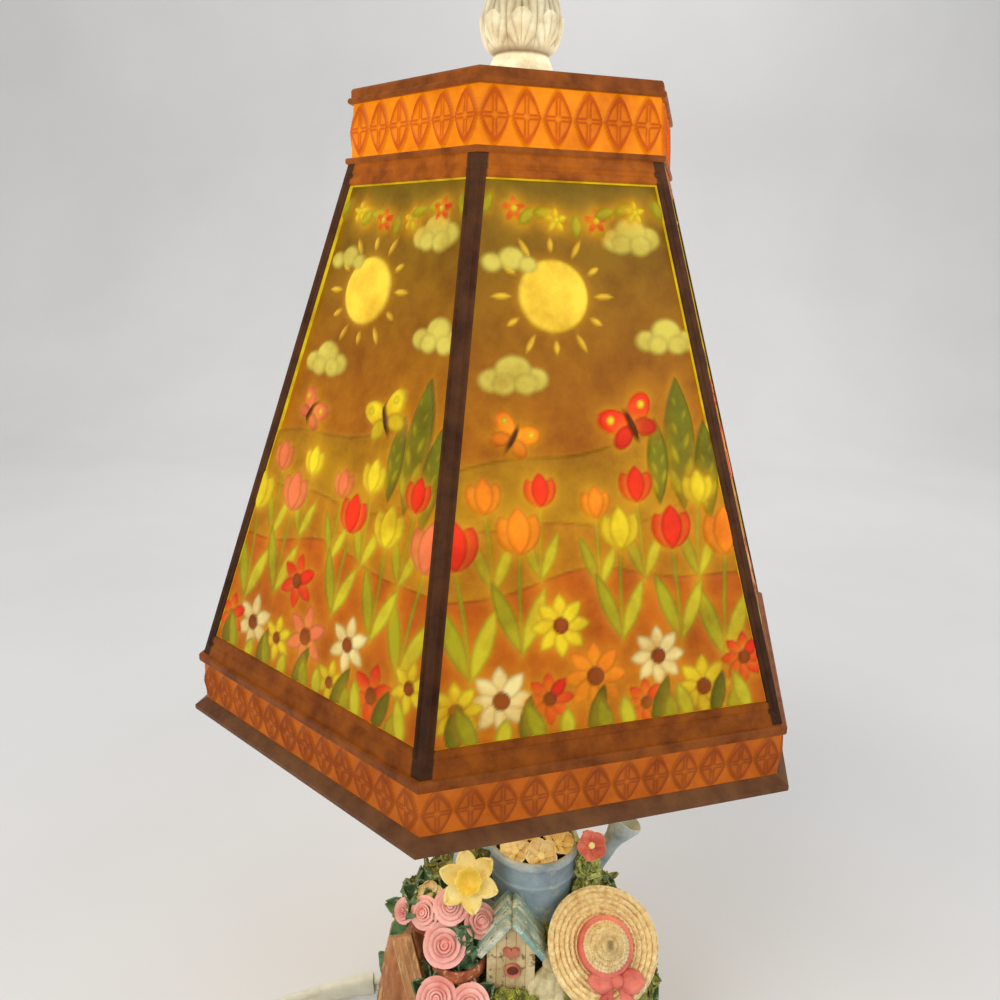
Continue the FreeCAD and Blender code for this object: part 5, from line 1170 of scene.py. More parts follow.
def rose_model():
    """A rose of radius one: a rolled heart and wide petals that open outwards round it."""
    shells = [shell(0, 400, 0.04, 0.11, 0.76, 0.02), shell(150, 250, 0.12, 0.24, 0.76, 0.05)]
    rings = ((2, 215, 0.16, 0.38, 0.72, 0.08, 60), (3, 160, 0.20, 0.58, 0.62, 0.15, 10),
             (4, 120, 0.20, 0.80, 0.42, 0.20, 40))
    for count, span, foot, lip, height, roll, start in rings:
        for k in range(count):
            shells.append(shell(start + k * 360.0 / count, span, foot, lip, height, roll))
    heart = turned("rose_heart", [(0.05, 0.0), (0.28, 0.1), (0.26, 0.40), (0.10, 0.62), (0.02, 0.66)], 16)
    return join(shells + [smooth(heart)], "rose_model")


def open_flower(name, petal_finish, tilt):
    """A flower of radius one with a ring of five petals round a yellow heart."""
    petals = gather(name + "_petals", round_petal, [upright(tilt, k * 72.0, 0.08) for k in range(5)])
    petals.data.materials.append(petal_finish)
    heart_profile = [(0.16, 0.0), (0.25, 0.08), (0.26, 0.18), (0.20, 0.27), (0.03, 0.30)]
    heart = smooth(turned(name + "_heart", heart_profile, 20))
    heart.data.materials.append(FINISHES["petal_yellow"])
    return join([petals, heart], name)


rose = rose_model()
rose.data.materials.append(FINISHES["rose_pink"])
coral_paint = painted("coral_petals", (0.94, 0.55, 0.46), (0.76, 0.33, 0.27), 0.55, 190)
cream_flower = open_flower("cream_flower", FINISHES["petal_cream"], 66)
coral_flower = open_flower("coral_flower", coral_paint, 74)
print("points in a rose", len(rose.data.vertices))

# %% [markdown]
# The mound, the rocks, the stump and the bushes are lumps of one casting. Each starts as a soft copy of
# its solid, and the green ones get leaves over it.

# %% Mound, rocks, stump and bushes
MOUND = Vector((0.004, -0.010, 0.0))


def seen_outside(place, normal):
    """True on the outer skin of the mound, above its plinth."""
    out = Vector((place.x - MOUND.x, place.y - MOUND.y, 0))
    neck = math.hypot(place.x, place.y) < 0.014
    faces_out = normal.z > 0.35 or normal.dot(out.normalized()) > 0.25
    return place.z > 0.0125 and not neck and faces_out and (out.length > 0.0445 or place.z > 0.0605)


mound = soft_copy("garden_mound", "mossy_mound", 1.5, 2, [(70, 2.6), (190, 1.6), (520, 0.9)],
                  only=seen_outside)
moss_rim = painted("plinth_paint", (0.42, 0.33, 0.18), (0.22, 0.16, 0.08), 0.6, 150, bump=0.4)
mound.data.materials.append(FINISHES["base_green"])
mound.data.materials.append(moss_rim)
for face in mound.data.polygons:
    face.material_index = 1 if face.center.z < 0.0128 else 0
finished(mound, ["garden_mound"], "base_green")
tufts = leaves_on("mound_moss", mound, moss_tuft, 420, 3.2, 4.6, 3, seen_outside, 0.9)
finished(tufts, [], "base_green")
creeper = leaves_on("mound_leaves", mound, broad_leaf, 46, 8.5, 8.0, 9,
                    lambda place, normal: seen_outside(place, normal) and place.z < 0.075, 0.5)
finished(creeper, [], "leaf_green")

rocks = soft_copy("mossy_rocks", "mossy_rocks_soft", 1.0, 3, [(90, 2.2), (260, 1.3), (700, 0.6)])
finished(rocks, ["mossy_rocks"], "base_green")
rock_moss = leaves_on("rock_moss", rocks, moss_tuft, 330, 2.6, 3.8, 5, rise=0.9)
finished(rock_moss, [], "base_green")



def at_the_sides(place, normal):
    return normal.z > -0.1 and (place.x > 0.034 or place.x < -0.022)


rock_leaves = leaves_on("rock_leaves", rocks, broad_leaf, 16, 9.0, 7.5, 6, at_the_sides, 0.6)
finished(rock_leaves, [], "leaf_green")

stump = soft_copy("tree_stump", "stump_bark", 0.8, 3, [(420, 0.5)])
grooves = []
for vertex in stump.data.vertices:
    turn = math.atan2(vertex.co.y + 0.022, vertex.co.x + 0.0235)
    fine = math.sin(turn * 26 + 5 * noise.noise(vertex.co * 90)) * 0.45
    wave = fine + math.sin(turn * 11 + vertex.co.z * 60) * 0.5
    grooves.append(Vector(vertex.co) + vertex.normal * wave * MM * (0.2 if vertex.co.z > 0.0755 else 1.0))
set_points(stump, np.array(grooves))
finished(stump, ["tree_stump"], "bark")

bush = soft_copy("moss_bush", "moss_bush_core", 0.9, 3, [(300, 1.2)], shrink=0.8)
finished(bush, ["moss_bush"], "base_green")
bright_moss = painted("bright_moss", (0.74, 0.76, 0.24), (0.22, 0.26, 0.06), 0.6, 420,
                      (0.88, 0.88, 0.42), bump=0.7)
bush_tufts = leaves_on("moss_bush_tufts", bush, moss_tuft, 300, 1.9, 3.0, 11, rise=1.0)
finished(bush_tufts, [], "base_green", finish=bright_moss)

rose_spots = [((-17.0, -49.5, 85.5), (0, -0.8, 0.6), 6.3), ((-15.5, -44.5, 95.0), (0, -0.7, 0.7), 5.2),
              ((-23.5, -43.5, 91.5), (-0.4, -0.7, 0.6), 4.7), ((-6.6, -45.0, 90.5), (0.4, -0.7, 0.6), 4.9),
              ((-18.8, -57.0, 73.0), (0, -0.7, 0.7), 5.8), ((-8.8, -58.0, 72.0), (0, -0.7, 0.7), 5.8),
              ((-30.5, -37.0, 86.5), (-0.5, -0.6, 0.6), 3.8)]


def beside_roses(place, normal):
    """True where a leaf would not come through a rose."""
    return normal.z > -0.3 and all((place / MM - Vector(spot)).length > size * 0.92
                                   for spot, facing, size in rose_spots)


rose_bush = soft_copy("rose_leaves", "rose_leaves_core", 0.9, 3, [(300, 1.0)], shrink=1.6)
finished(rose_bush, ["rose_leaves"], "leaf_green")
rose_foliage = leaves_on("rose_foliage", rose_bush, broad_leaf, 90, 2.0, 4.6, 12, beside_roses, 0.7)
finished(rose_foliage, [], "leaf_green")

ivy = soft_copy("ivy_column", "ivy_core", 0.8, 3, [(320, 1.0)], shrink=0.9)
finished(ivy, ["ivy_column"], "base_green")
ivy_paint = painted("ivy_paint", (0.82, 0.86, 0.48), (0.44, 0.50, 0.20), 0.6, 300,
                    (0.90, 0.92, 0.64), bump=0.6)
ivy_leaves = leaves_on("ivy_leaves", ivy, small_leaf, 300, 1.4, 3.8, 13, lambda place, normal: True, 1.0)
finished(ivy_leaves, [], "base_green", finish=ivy_paint)

# %% [markdown]
# Pots, watering can and flowers. The pots, the can and the spout are round with rolled rims, so each is
# a turned profile. A lathe modifier would give the same walls, but pulling ring after ring shows where
# each bead sits. The blossoms are copies of the models above, each stood on its own place.

# %% Pots
def pot_model(name, foot, rim_shade, height, band):
    """A flower pot with a rim band that stands out from its wall, filled up to the band's foot."""
    wall = 1.2
    return smooth(turned(name, [
        (foot * 0.9, 0), (foot, 0.3), (rim_shade - wall - 0.2, height - band), (rim_shade - 0.3, height - band - 0.1),
        (rim_shade, height - band + 0.4), (rim_shade + 0.3, height - 0.7), (rim_shade + 0.2, height - 0.1),
        (rim_shade - 0.3, height + 0.2), (rim_shade - wall, height - 0.3), (rim_shade - wall - 0.5, height - band),
        (0.1, height - band + 0.3)], 56), 35)


leaf_pot = finished(pot_model("leaf_pot_turned", 4.8, 7.0, 12.0, 3.4), ["leaf_pot"], "terracotta")
leaf_pot.data.transform(stand((-24.5, -32.0, 78.0), (0.14, -0.22, 0.96)))
rose_pot = finished(pot_model("rose_pot_turned", 5.6, 8.2, 16.0, 4.2), ["rose_pot"], "terracotta")
rose_pot.data.transform(stand((-13.0, -45.5, 63.0)))

# %% Leaf plant
plant_foot = Vector((-23.2, -36.5, 88.0))
plant = gather("leaf_plant_leaves", broad_leaf, [
    stand(plant_foot, (0.1, -0.3, 1)) @ upright(tilt, turn, 0.8, size)
    for tilt, size, turns in ((78, 9.0, range(0, 360, 60)), (52, 8.0, range(30, 390, 72)),
                              (28, 6.0, range(10, 370, 120)))
    for turn in turns])
finished(plant, ["leaf_plant"], "leaf_green")
bloom_place = stand(plant_foot + Vector((0.5, -0.5, 3.5)), (0, -0.55, 0.8), 4.6)
finished(copy_of(cream_flower, "leaf_plant_bloom", bloom_place), [], "petal_cream")

# %% Watering can, spout and handle
CAN_X, CAN_Y = 9.5, -27.5
SOIL_RADIUS, SOIL_LEVEL, RIM_LEVEL = 11.9, 100.0, 104.6
can = smooth(turned("watering_can_turned", [
    (9.8, 66.0), (10.7, 66.3), (11.0, 67.0), (10.5, 67.9), (10.9, 71.5), (11.4, 72.1), (11.5, 72.9),
    (11.2, 73.5), (13.2, 97.4), (13.7, 97.9), (13.8, 98.7), (13.4, 99.3), (13.6, 104.6), (14.3, 105.1),
    (14.7, 106.2), (14.4, 107.4), (13.7, 107.9), (12.9, 107.6), (12.5, 106.5), (12.2, 104.0),
    (11.8, 100.2), (6.0, 100.8), (0.1, 101.0)], 72), 35)
can.data.transform(Matrix.Translation((CAN_X * MM, CAN_Y * MM, 0)))
soil = painted("soil", (0.26, 0.19, 0.11), (0.12, 0.08, 0.05), 0.9, 400, bump=0.9)
pale_rim = painted("worn_rim_paint", (0.74, 0.79, 0.80), (0.50, 0.57, 0.60), 0.5, 140)
for finish in (FINISHES["can_blue"], soil, pale_rim):
    can.data.materials.append(finish)
for face in can.data.polygons:
    x, y, z = face.center / MM
    on_soil = math.hypot(x - CAN_X, y - CAN_Y) < SOIL_RADIUS and z > SOIL_LEVEL
    face.material_index = 1 if on_soil else 2 if z > RIM_LEVEL else 0
finished(can, ["watering_can"], "can_blue")
spout = smooth(turned("can_spout_turned", [
    (3.2, -1.0), (3.5, 0.2), (3.1, 6.0), (2.7, 24.0), (3.1, 27.0), (4.9, 32.2), (5.2, 33.0), (5.2, 34.2),
    (4.7, 34.5), (4.2, 33.8), (2.2, 29.0), (0.1, 28.4)], 40), 35)
spout.data.transform(stand((22.0, -26.0, 84.0), (0.5, 0, 0.87)))
finished(spout, ["can_spout"], "can_blue", finish=pale_rim)
handle_line = [(-2.6, 103.2), (-8.0, 105.6), (-13.2, 104.0), (-15.6, 97.0), (-13.0, 89.0), (-7.0, 83.0),
               (-0.6, 79.4)]
handle = rod("can_handle_bent", [(x, CAN_Y, z) for x, z in handle_line], [1.15, 1.2, 1.2, 1.2, 1.2, 1.2, 1.3])
to_can = Matrix.Translation((0, CAN_Y * MM, 0))
handle.data.transform(to_can @ Matrix.Diagonal((1, 1.7, 1, 1)) @ to_can.inverted())
finished(handle, ["can_handle"], "can_blue", finish=pale_rim)

# %% Blossoms in the can, coral flower, daffodil and roses
blossom_spots = [(-5.5, -6.5), (2.0, -8.5), (7.5, -2.5), (-1.5, 1.5), (5.0, 5.5), (-6.0, 4.5)]
blossom_places = [stand((CAN_X + x, CAN_Y + y, 106.6), (x * 0.05, y * 0.06 - 0.15, 1), 5.2, 17 * k)
                  for k, (x, y) in enumerate(blossom_spots)]
finished(gather("cream_blossoms", cream_flower, blossom_places), ["can_blossoms"], "petal_cream")
leaf_places = []
for k in range(8):
    a = math.radians(-30 + 45 * k)
    x, y = math.cos(a), math.sin(a)
    leaf_places.append(stand((CAN_X + 7.4 * x, CAN_Y + 7.4 * y, 105.0), (x, y, 1.6), 5.2, k * 40))
finished(gather("blossom_leaves", broad_leaf, leaf_places), [], "leaf_green")
coral_place = stand((27.0, -34.9, 110.6), (0.1, -0.8, 0.5), 4.4, 20)
finished(copy_of(coral_flower, "coral_bloom", coral_place), [], "rose_pink")

petals = gather("daffodil_petals", star_petal, [upright(76, k * 60.0 + 12, 1.4, 8.1) for k in range(6)])
petals.data.materials.append(FINISHES["petal_yellow"])
trumpet = turned("daffodil_trumpet", [
    (1.5, -0.3), (2.2, 0.4), (2.6, 2.2), (3.1, 3.8), (3.9, 4.7), (3.95, 5.0), (3.6, 5.1), (2.7, 4.0),
    (2.1, 2.4), (1.2, 1.6), (0.1, 1.5)], 48)
rows = points_of(trumpet)
reach = np.hypot(rows[:, 0], rows[:, 1]) / MM
frill = np.clip((reach - 2.8) / 1.0, 0, 1) * (rows[:, 2] > 3.4 * MM)
angle = np.arctan2(rows[:, 1], rows[:, 0])
rows[:, 2] += 0.5 * MM * frill * np.sin(8 * angle)
rows[:, :2] *= (1 + 0.06 * frill * np.cos(8 * angle))[:, None]
set_points(trumpet, rows)
deep_yellow = painted("trumpet_yellow", (0.97, 0.89, 0.40), (0.88, 0.72, 0.20), 0.6, 200)
trumpet.data.materials.append(deep_yellow)
daffodil = join([petals, smooth(trumpet)], "daffodil_bloom")
daffodil.data.transform(stand((-10.2, -43.0, 103.0), (0, -0.8, 0.6)))
finished(daffodil, ["daffodil"], "petal_yellow")
stem_line = [(-10.6, -41.9, 72.0), (-10.4, -41.5, 84.0), (-10.0, -41.0, 96.0), (-10.2, -42.4, 103.0)]
stem = rod("daffodil_stem", stem_line, [1.3, 1.1, 1.1, 1.7])
side_leaves = gather("daffodil_leaves", star_petal, [
    stand((-12.0, -41.5, 78.0), (0, -1, 0.1), 19.0, -6), stand((-8.8, -41.8, 80.0), (0, -1, 0.1), 17.0, 12)])
finished(join([stem, side_leaves], "daffodil_stalk"), [], "leaf_green")

rose_places = []
for k, (place, facing, size) in enumerate(rose_spots):
    sunk = Vector(place) - Vector(facing).normalized() * size * 0.30
    rose_places.append(stand(sunk, facing, size, 40 * k))
finished(gather("roses", rose, rose_places), ["rose_blooms"], "rose_pink")
low_leaves = []
for k, (place, facing, size) in enumerate(rose_spots[4:]):
    for turn in (-70, -10, 60, 130):
        behind = Vector(place) - Vector(facing) * 4.4
        low_leaves.append(stand(behind, facing) @ upright(84, turn + 20 * k, 2.0, 7.0))
finished(gather("rose_side_leaves", broad_leaf, low_leaves), [], "leaf_green")
print("garden flowers done")

# %% [markdown]
# Birdhouse, hat, glove and board. The birdhouse is boards side by side, each a cube with worn edges, cut
# to the pitch of its roof. The hat is plaited straw sewn round and round, so its profile has one bulge
# for each row of plait, and a fine wave round the hat gives the strands. The folded glove is soft, so
# its fingers are bent rods that are melted into one skin, as voxels do it.

# %% Birdhouse
def plank(name, low, high, bevel):
    """A board between two corners in millimetres, with worn edges."""
    start_fresh()
    middle = [(a + b) / 2 * MM for a, b in zip(low, high)]
    bpy.ops.mesh.primitive_cube_add(size=1, location=middle)
    piece = named(name)
    piece.scale = [(b - a) * MM for a, b in zip(low, high)]
    settle(piece)
    return modifier(piece, "BEVEL", width=bevel * MM, segments=2, limit_method="NONE")


HOUSE = Vector((3.0, -45.0, 66.0))
PITCH = math.atan2(9.5, 7.25)
wall_parts = []
for k in range(5):
    left = -7.25 + k * 2.9
    wall_parts.append(plank("wall_board", (left, -6.0, 0.0), (left + 2.86, 6.0, 29.6), 0.22))
walls = join(wall_parts, "birdhouse_walls")
bpy.ops.object.mode_set(mode="EDIT")
for side in (-1, 1):
    bpy.ops.mesh.select_all(action="SELECT")
    bpy.ops.mesh.bisect(plane_co=(0, 0, 0.0294), plane_no=(side * math.sin(PITCH), 0, math.cos(PITCH)),
                        use_fill=True, clear_outer=True)
bpy.ops.object.mode_set(mode="OBJECT")
walls.data.transform(Matrix.Translation(HOUSE * MM))
finished(smooth(outward(walls), 30), ["birdhouse"], "house_cream")

rust_paint = painted("rust_paint", (0.80, 0.47, 0.36), (0.58, 0.29, 0.20), 0.6, 190)
# Painted shade: the door's hole is a flat disc painted dark, standing for the shaded inside of the house.
painted_hole_shade = painted("painted_hole_shade", (0.44, 0.20, 0.12), (0.26, 0.11, 0.07), 0.9, 300)
ring = turned("door_ring", [
    (1.5, 0), (2.5, 0), (2.6, 0.5), (2.3, 0.9), (1.8, 0.7), (1.7, 0.2), (0.1, 0.15)], 32)
for finish in (rust_paint, painted_hole_shade):
    ring.data.materials.append(finish)
for face in ring.data.polygons:
    face.material_index = 1 if math.hypot(face.center.x, face.center.y) < 1.72 * MM else 0
ring.data.transform(stand(HOUSE + Vector((0.6, -6.05, 12.5)), (0, -1, 0)))
finished(smooth(ring), [], "house_cream")

start_fresh()
bpy.ops.mesh.primitive_circle_add(vertices=40, radius=MM, fill_type="NGON")
heart = named("birdhouse_heart")
for k, vertex in enumerate(heart.data.vertices):
    a = 2 * math.pi * k / 40
    rise = 13 * math.cos(a) - 5 * math.cos(2 * a) - 2 * math.cos(3 * a) - math.cos(4 * a)
    vertex.co = (2.5 * math.sin(a) ** 3 * MM, 0.155 * rise * MM, 0)
bpy.ops.object.mode_set(mode="EDIT")
bpy.ops.mesh.select_all(action="SELECT")
bpy.ops.mesh.extrude_region_move(TRANSFORM_OT_translate={"value": (0, 0, 0.9 * MM)})
bpy.ops.object.mode_set(mode="OBJECT")
modifier(heart, "BEVEL", width=0.35 * MM, segments=3, limit_method="ANGLE")
heart.data.transform(stand(HOUSE + Vector((0, -6.0, 19.0)), (0, -1, 0)))
finished(smooth(outward(heart), 60), [], "house_cream", finish=rust_paint)

worn_white = painted("worn_white_paint", (0.86, 0.88, 0.78), (0.50, 0.58, 0.52), 0.6, 170,
                     (0.40, 0.46, 0.42))
roof_boards = []
for side in (-1, 1):
    for k in range(6):
        front = -8.0 + k * 2.52
        board = plank("roof_board", (0, front, 0.0), (15.0 - 0.4 * (k % 2), front + 2.46, 1.7), 0.25)
        board.data.materials.append(worn_white if k % 2 else FINISHES["roof_teal"])
        tilt = Matrix.Rotation(PITCH, 4, "Y")
        flip = Matrix.Rotation(math.pi if side < 0 else 0, 4, "Z")
        shift = Matrix.Translation((0, -1.0 * MM if side < 0 else 0, 0))
        board.data.transform(Matrix.Translation((HOUSE + Vector((0, 0, 29.5))) * MM) @ shift @ flip @ tilt)
        roof_boards.append(board)
finished(smooth(join(roof_boards, "birdhouse_roof_boards"), 30), ["birdhouse_roof"], "roof_teal")

# %% Straw hat with its ribbon
hat_profile = [(0.2, -0.9), (6.0, -0.9), (11.5, -0.8), (16.4, -0.5), (17.0, 0.1), (17.1, 0.8)]
for k in range(6):
    for inward, height in ((0.0, 0.7), (0.3, 1.45), (0.75, 1.75), (1.2, 1.35), (1.5, 0.6)):
        hat_profile.append((16.7 - 1.6 * k - inward, height))
for k in range(6):
    for swell, shift in ((-0.5, 0.0), (0.2, 3.2), (0.45, 7.0), (0.25, 11.0), (-0.5 if k < 5 else 0.1, 14.2)):
        a = math.radians(3 + k * 14.5 + shift)
        reach = (7.1 + swell) * max(math.cos(a), 0.0) ** 0.75 + 0.02
        hat_profile.append((reach, 1.2 + (7.5 + swell) * math.sin(a)))
hat = turned("straw_hat_woven", hat_profile, 200)
rows = points_of(hat) / MM
reach = np.hypot(rows[:, 0], rows[:, 1])
angle = np.arctan2(rows[:, 1], rows[:, 0])
braid = np.sin(40 * angle + reach * 3.9 + rows[:, 2] * 3.0) * 0.26 * (rows[:, 2] > 0.65)
crown = (reach < 8.2) & (rows[:, 2] > 1.1)
woven = crown * np.clip(reach / 2.5, 0, 1) * np.clip(7 - reach, 0, 1)
weave = 1 + 0.03 * np.sin(15 * angle + reach * 5.0) * woven
rows[:, :2] *= weave[:, None]
sway = 0.75 * np.sin(2 * angle + 0.6) * np.clip((reach - 8) / 9, 0, 1) ** 2
rows[:, 2] += braid + sway
rows[:, :2] *= (1 + 0.012 * np.sin(3 * angle + 1.0) * (reach > 9))[:, None]
set_points(hat, rows * MM)
HAT_PLACE = stand((30.5, -48.0, 85.0), (0.16, -0.7, 0.7))
hat.data.transform(HAT_PLACE)
finished(smooth(hat, 70), ["straw_hat"], "straw")

band = turned("ribbon_band", [
    (7.6, 1.2), (8.3, 1.3), (8.45, 2.0), (8.3, 2.9), (8.35, 3.8), (8.2, 4.4), (7.7, 4.5)], 64)
loops = []
for side in (-1, 1):
    start_fresh()
    bpy.ops.mesh.primitive_uv_sphere_add(segments=32, ring_count=20, radius=MM)
    loop = named("bow_loop")
    ball = points_of(loop) / MM
    along = (ball[:, 0] + 1) / 2
    pinch = 0.30 + 0.70 * np.sin(np.pi * along ** 0.8 * 0.86) ** 0.8
    hollow = 0.9 * np.exp(-((along - 0.62) / 0.16) ** 2 - (ball[:, 1] / 0.35) ** 2)
    fold = 0.22 * np.sin(ball[:, 1] * 9) * (1 - along)
    loop_rows = np.stack([side * along * 8.8, ball[:, 1] * 3.5 * pinch,
                          (ball[:, 2] * 1.7 + fold - hollow * (ball[:, 2] > 0)) * pinch + 1.6], axis=1)
    set_points(loop, loop_rows * MM)
    loops.append(outward(loop))
    tail_piece = blade("bow_tail", 0.40, 0.72, 0.55, -0.2, 0.05, 0.05, 0.16, 8, 12)
    tail_piece.data.transform(Matrix.Translation((side * 1.2 * MM, -0.6 * MM, 1.0 * MM)) @
                              Matrix.Rotation(math.radians(180 + side * 24), 4, "Z") @ Matrix.Scale(9.2, 4))
    loops.append(tail_piece)
knot = turned("bow_knot", [(0.8, 0.2), (1.9, 0.8), (2.2, 1.8), (1.9, 2.9), (1.2, 3.4), (0.1, 3.5)], 24)
bow = join(loops + [knot], "hat_bow")
bow.data.transform(Matrix.Translation((3.0 * MM, -9.0 * MM, 1.2 * MM)))
ribbon = join([band, bow], "hat_ribbon_tied")
ribbon.data.transform(HAT_PLACE @ Matrix.Rotation(math.radians(-8), 4, "Z"))
finished(smooth(outward(ribbon), 60), ["hat_ribbon"], "ribbon_coral")

# %% Folded glove
fingers = [rod("finger", points, radii, turns=4) for points, radii in (
    ([(1.2, 1.6, 20.5), (0.2, 0.2, 14.0), (-0.8, 0.2, 7.0), (-0.9, 1.2, 1.2)], [1.9, 1.6, 1.5, 1.1]),
    ([(3.2, 1.2, 21.0), (2.6, -1.0, 14.0), (2.1, -1.5, 5.5), (2.1, -0.4, -1.6)], [1.9, 1.6, 1.5, 1.1]),
    ([(5.4, 1.4, 20.0), (5.4, -1.1, 13.0), (5.2, -1.8, 4.5), (5.4, -0.8, -2.4)], [1.9, 1.6, 1.5, 1.1]),
    ([(7.2, 2.4, 18.0), (8.0, 0.0, 12.0), (8.2, -0.8, 5.0), (8.3, 0.4, -1.0)], [1.8, 1.5, 1.4, 1.0]),
    ([(1.0, 2.2, 20.0), (-1.8, 1.0, 18.5), (-3.4, 0.2, 14.5), (-3.4, 0.2, 9.0)], [2.0, 1.7, 1.6, 1.2]))]
palm_line = [(4.0, 3.6, 18.5), (3.8, 3.0, 22.0), (3.6, 3.4, 25.0), (3.4, 4.6, 28.0)]
palm = rod("palm", palm_line, [2.8, 3.8, 3.7, 4.6], turns=5)
glove = join(fingers + [palm], "folded_glove")
glove_place = Matrix.Translation(Vector((12.5, -51.0, 57.5)) * MM)
glove.data.transform(glove_place @ Matrix.Diagonal((1.0, 0.9, 0.92, 1)))
modifier(glove, "REMESH", mode="VOXEL", voxel_size=0.36 * MM)
modifier(glove, "SMOOTH", iterations=3, factor=0.5)
select_only(glove)
bpy.ops.object.shade_smooth()
finished(glove, ["garden_glove"], "glove_cream")

# %% Slanted board
board = plank("old_board", (-3.2, -1.3, 0), (3.3, 1.3, 44.0), 0.5)
modifier(board, "SUBSURF", levels=3, subdivision_type="SIMPLE")
worn = points_of(board) / MM
for row in worn:
    row[1] += 0.35 * math.sin(row[0] * 3.1 + 0.4 * math.sin(row[2] * 0.25)) * (1 if row[1] < 0 else 0)
set_points(board, worn * MM)
leaning = Matrix.Rotation(math.radians(-8), 4, "X") @ Matrix.Rotation(math.radians(-14), 4, "Y")
board.data.transform(Matrix.Translation((-0.0205, -0.0465, 0.038)) @ leaning)
finished(smooth(board, 40), ["slanted_board"], "board_tan")

# %% [markdown]
# The lit top: the cap's stepped plate and the finial, a globe of acanthus leaves on a waisted neck. The
# leaves overlap in three tiers and hardly stand out from the globe, so they are a lift of a finely
# turned profile, with ribs that fan out from each leaf's foot. The same lift gives painted light and
# shade: a cream painted highlight on the ridges and a brown painted shade in the hollows. The bulb
# inside glows warm white.

# %% Cap, finial and bulb
cap = turned("shade_cap_plate", [
    (6.0, 323.2), (47.9, 323.2), (48.3, 323.5), (48.3, 324.2), (47.9, 324.6), (47.3, 324.7),
    (47.3, 326.4), (46.8, 327.0), (22.0, 327.0), (21.5, 327.35), (12.0, 327.35), (6.0, 327.2)], 6)
cap.data.transform(Matrix.Rotation(math.radians(NEAR_CORNER + 90), 4, "Z"))
finished(smooth(cap, 25), ["shade_cap"], "shade_trim", "shade", ledge_tone)

NECK_TOP, LEAF_RISE = 338.4, 19.2
leaf_tone = lit_paint("finial_cream", 0.006, 0.023, 0.85, 0.08, 160.0, 0.66, (0.0, 0.0, 0.338))
finial_profile = [(6.0, 327.0), (8.8, 327.0), (9.0, 327.6), (9.0, 333.4), (8.9, 335.4), (8.4, 336.6),
                  (7.9, 337.6), (7.7, NECK_TOP)]
for k in range(76):
    a = math.radians(-44 + k * 1.785)
    tall = 12.2 if a < 0 else 10.6
    finial_profile.append((max(10.3 * math.cos(a), 0.05), 347.0 + tall * math.sin(a)))
globe = turned("acanthus_finial", finial_profile, 256)
rows = points_of(globe) / MM
reach = np.hypot(rows[:, 0], rows[:, 1])
angle = np.arctan2(rows[:, 1], rows[:, 0])
height = np.clip((rows[:, 2] - NECK_TOP) / LEAF_RISE, 0, 1)
lift = np.zeros(len(rows))
for foot, tip, proud, turn in ((0.0, 1.25, 0.0, 22.5), (0.02, 0.86, 0.30, 0.0), (0.0, 0.52, 0.60, 22.5)):
    across = (np.mod(np.degrees(angle) - turn, 45.0) - 22.5) / 22.5
    along = (height - foot) / (tip - foot)
    half = 1.02 * np.clip(1 - np.clip(along, 0, 1) ** 3.0, 0, 1) ** 0.6
    inside = np.clip((half - np.abs(across)) / 0.07, 0, 1) * np.clip(along / 0.05, 0, 1)
    fan = np.arctan2(across * 1.1, along * 1.5 + 0.16)
    ribs = np.abs(np.sin(fan * 6.2)) ** 0.7 * np.clip(along * 5, 0, 1)
    leaf = proud + 0.34 * np.clip(along, 0, 1) ** 2 + 0.62 * ribs - 0.25 * np.abs(across)
    lift = lift * (1 - inside) + leaf * inside
lift *= np.clip((rows[:, 2] - NECK_TOP + 0.2) / 1.5, 0, 1) * np.clip(reach / 2.5, 0, 1)
rows[:, :2] *= (1 + lift / np.maximum(reach, 1.0))[:, None]
set_points(globe, rows * MM)
# Painted light and shade: cream where the leaves stand out, brown in the hollows between them.
ridge_light = np.where(rows[:, 2] > NECK_TOP, np.clip(lift / 1.15, 0, 1), 0.8)[:, None]
set_paint_and_shade(globe, screen(150, 128, 96) * (1 - ridge_light) + screen(255, 246, 206) * ridge_light)
finished(smooth(outward(globe), 50), ["finial"], "finial_cast", "finial", leaf_tone)

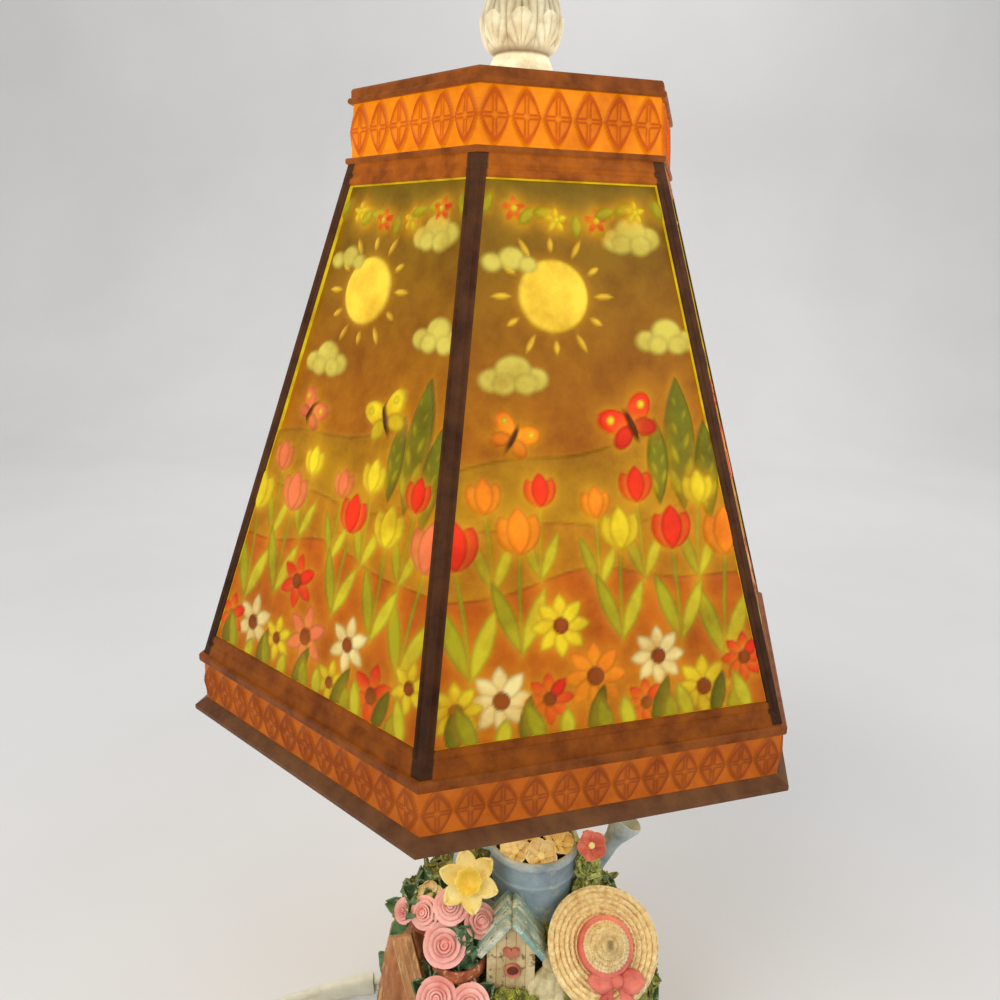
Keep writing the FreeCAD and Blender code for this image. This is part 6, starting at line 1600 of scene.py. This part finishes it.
glass, tree, shader = new_material("lit_glass")
shader.inputs["Base Color"].default_value = (0.95, 0.90, 0.80, 1)
shader.inputs["Emission Color"].default_value = (1.0, 0.80, 0.48, 1)
shader.inputs["Roughness"].default_value = 0.2
frosting = object_noise(tree, 500.0, 2.0)
add_bump(tree, shader, frosting, 0.05, 0.0002)
tree.links.new(distance_glow(tree, 0.010, 0.045, 2.2, 1.0), shader.inputs["Emission Strength"])
bulb_profile = [(12.0, 198.6), (12.6, 205.0), (14.0, 214.0)]
for k in range(13):
    a = math.radians(-48 + k * 11.4)
    bulb_profile.append((max(24.0 * math.cos(a), 0.1), 243.0 + 24.0 * math.sin(a)))
bulb = turned("bulb_glass_blown", bulb_profile, 64)
finished(smooth(bulb, 50), ["bulb_glass"], "bulb_glass", "base", glass)

# %% [markdown]
# Where the cord leaves the base it runs through a tapered sleeve with ribs, moulded in the same vinyl,
# which keeps it from kinking. The sleeve starts as a turned tube with one ring for each point of the
# cord's line, and each ring is then set square to the line at its own point.

# %% Tapered sleeve on the cord
SLEEVE_TIP, SLEEVE_ROOT = -0.0715, -0.0458
sleeve_path = [place for place in cord_path if SLEEVE_TIP < place.x < SLEEVE_ROOT and place.y > 0]
sleeve = turned("cord_sleeve", [(1, index) for index in range(len(sleeve_path))], 28)
rows = []
for x, y, z in points_of(sleeve) / MM:
    index = round(z)
    share = index / (len(sleeve_path) - 1)
    ahead = (sleeve_path[min(index + 1, len(sleeve_path) - 1)] - sleeve_path[max(index - 1, 0)]).normalized()
    side = Vector((0, 0, 1)).cross(ahead).normalized()
    rib_step = 0.45 * (1 - share) if index % 2 else 0.0
    half_wide = (2.6 - 0.6 * share + rib_step) * MM
    half_tall = (4.2 - 0.6 * share + rib_step) * MM
    rows.append(sleeve_path[index] + side * half_wide * math.copysign(abs(x) ** 0.7, x) +
                ahead.cross(side) * half_tall * math.copysign(abs(y) ** 0.7, y))
set_points(sleeve, np.array(rows))
finished(smooth(outward(sleeve), 35), [], "cord_white")
print("sleeve length", round(sum((b - a).length for a, b in zip(sleeve_path, sleeve_path[1:])), 4))

for model in (small_leaf, broad_leaf, moss_tuft, round_petal, star_petal, rose, cream_flower, coral_flower):
    bpy.data.objects.remove(model)
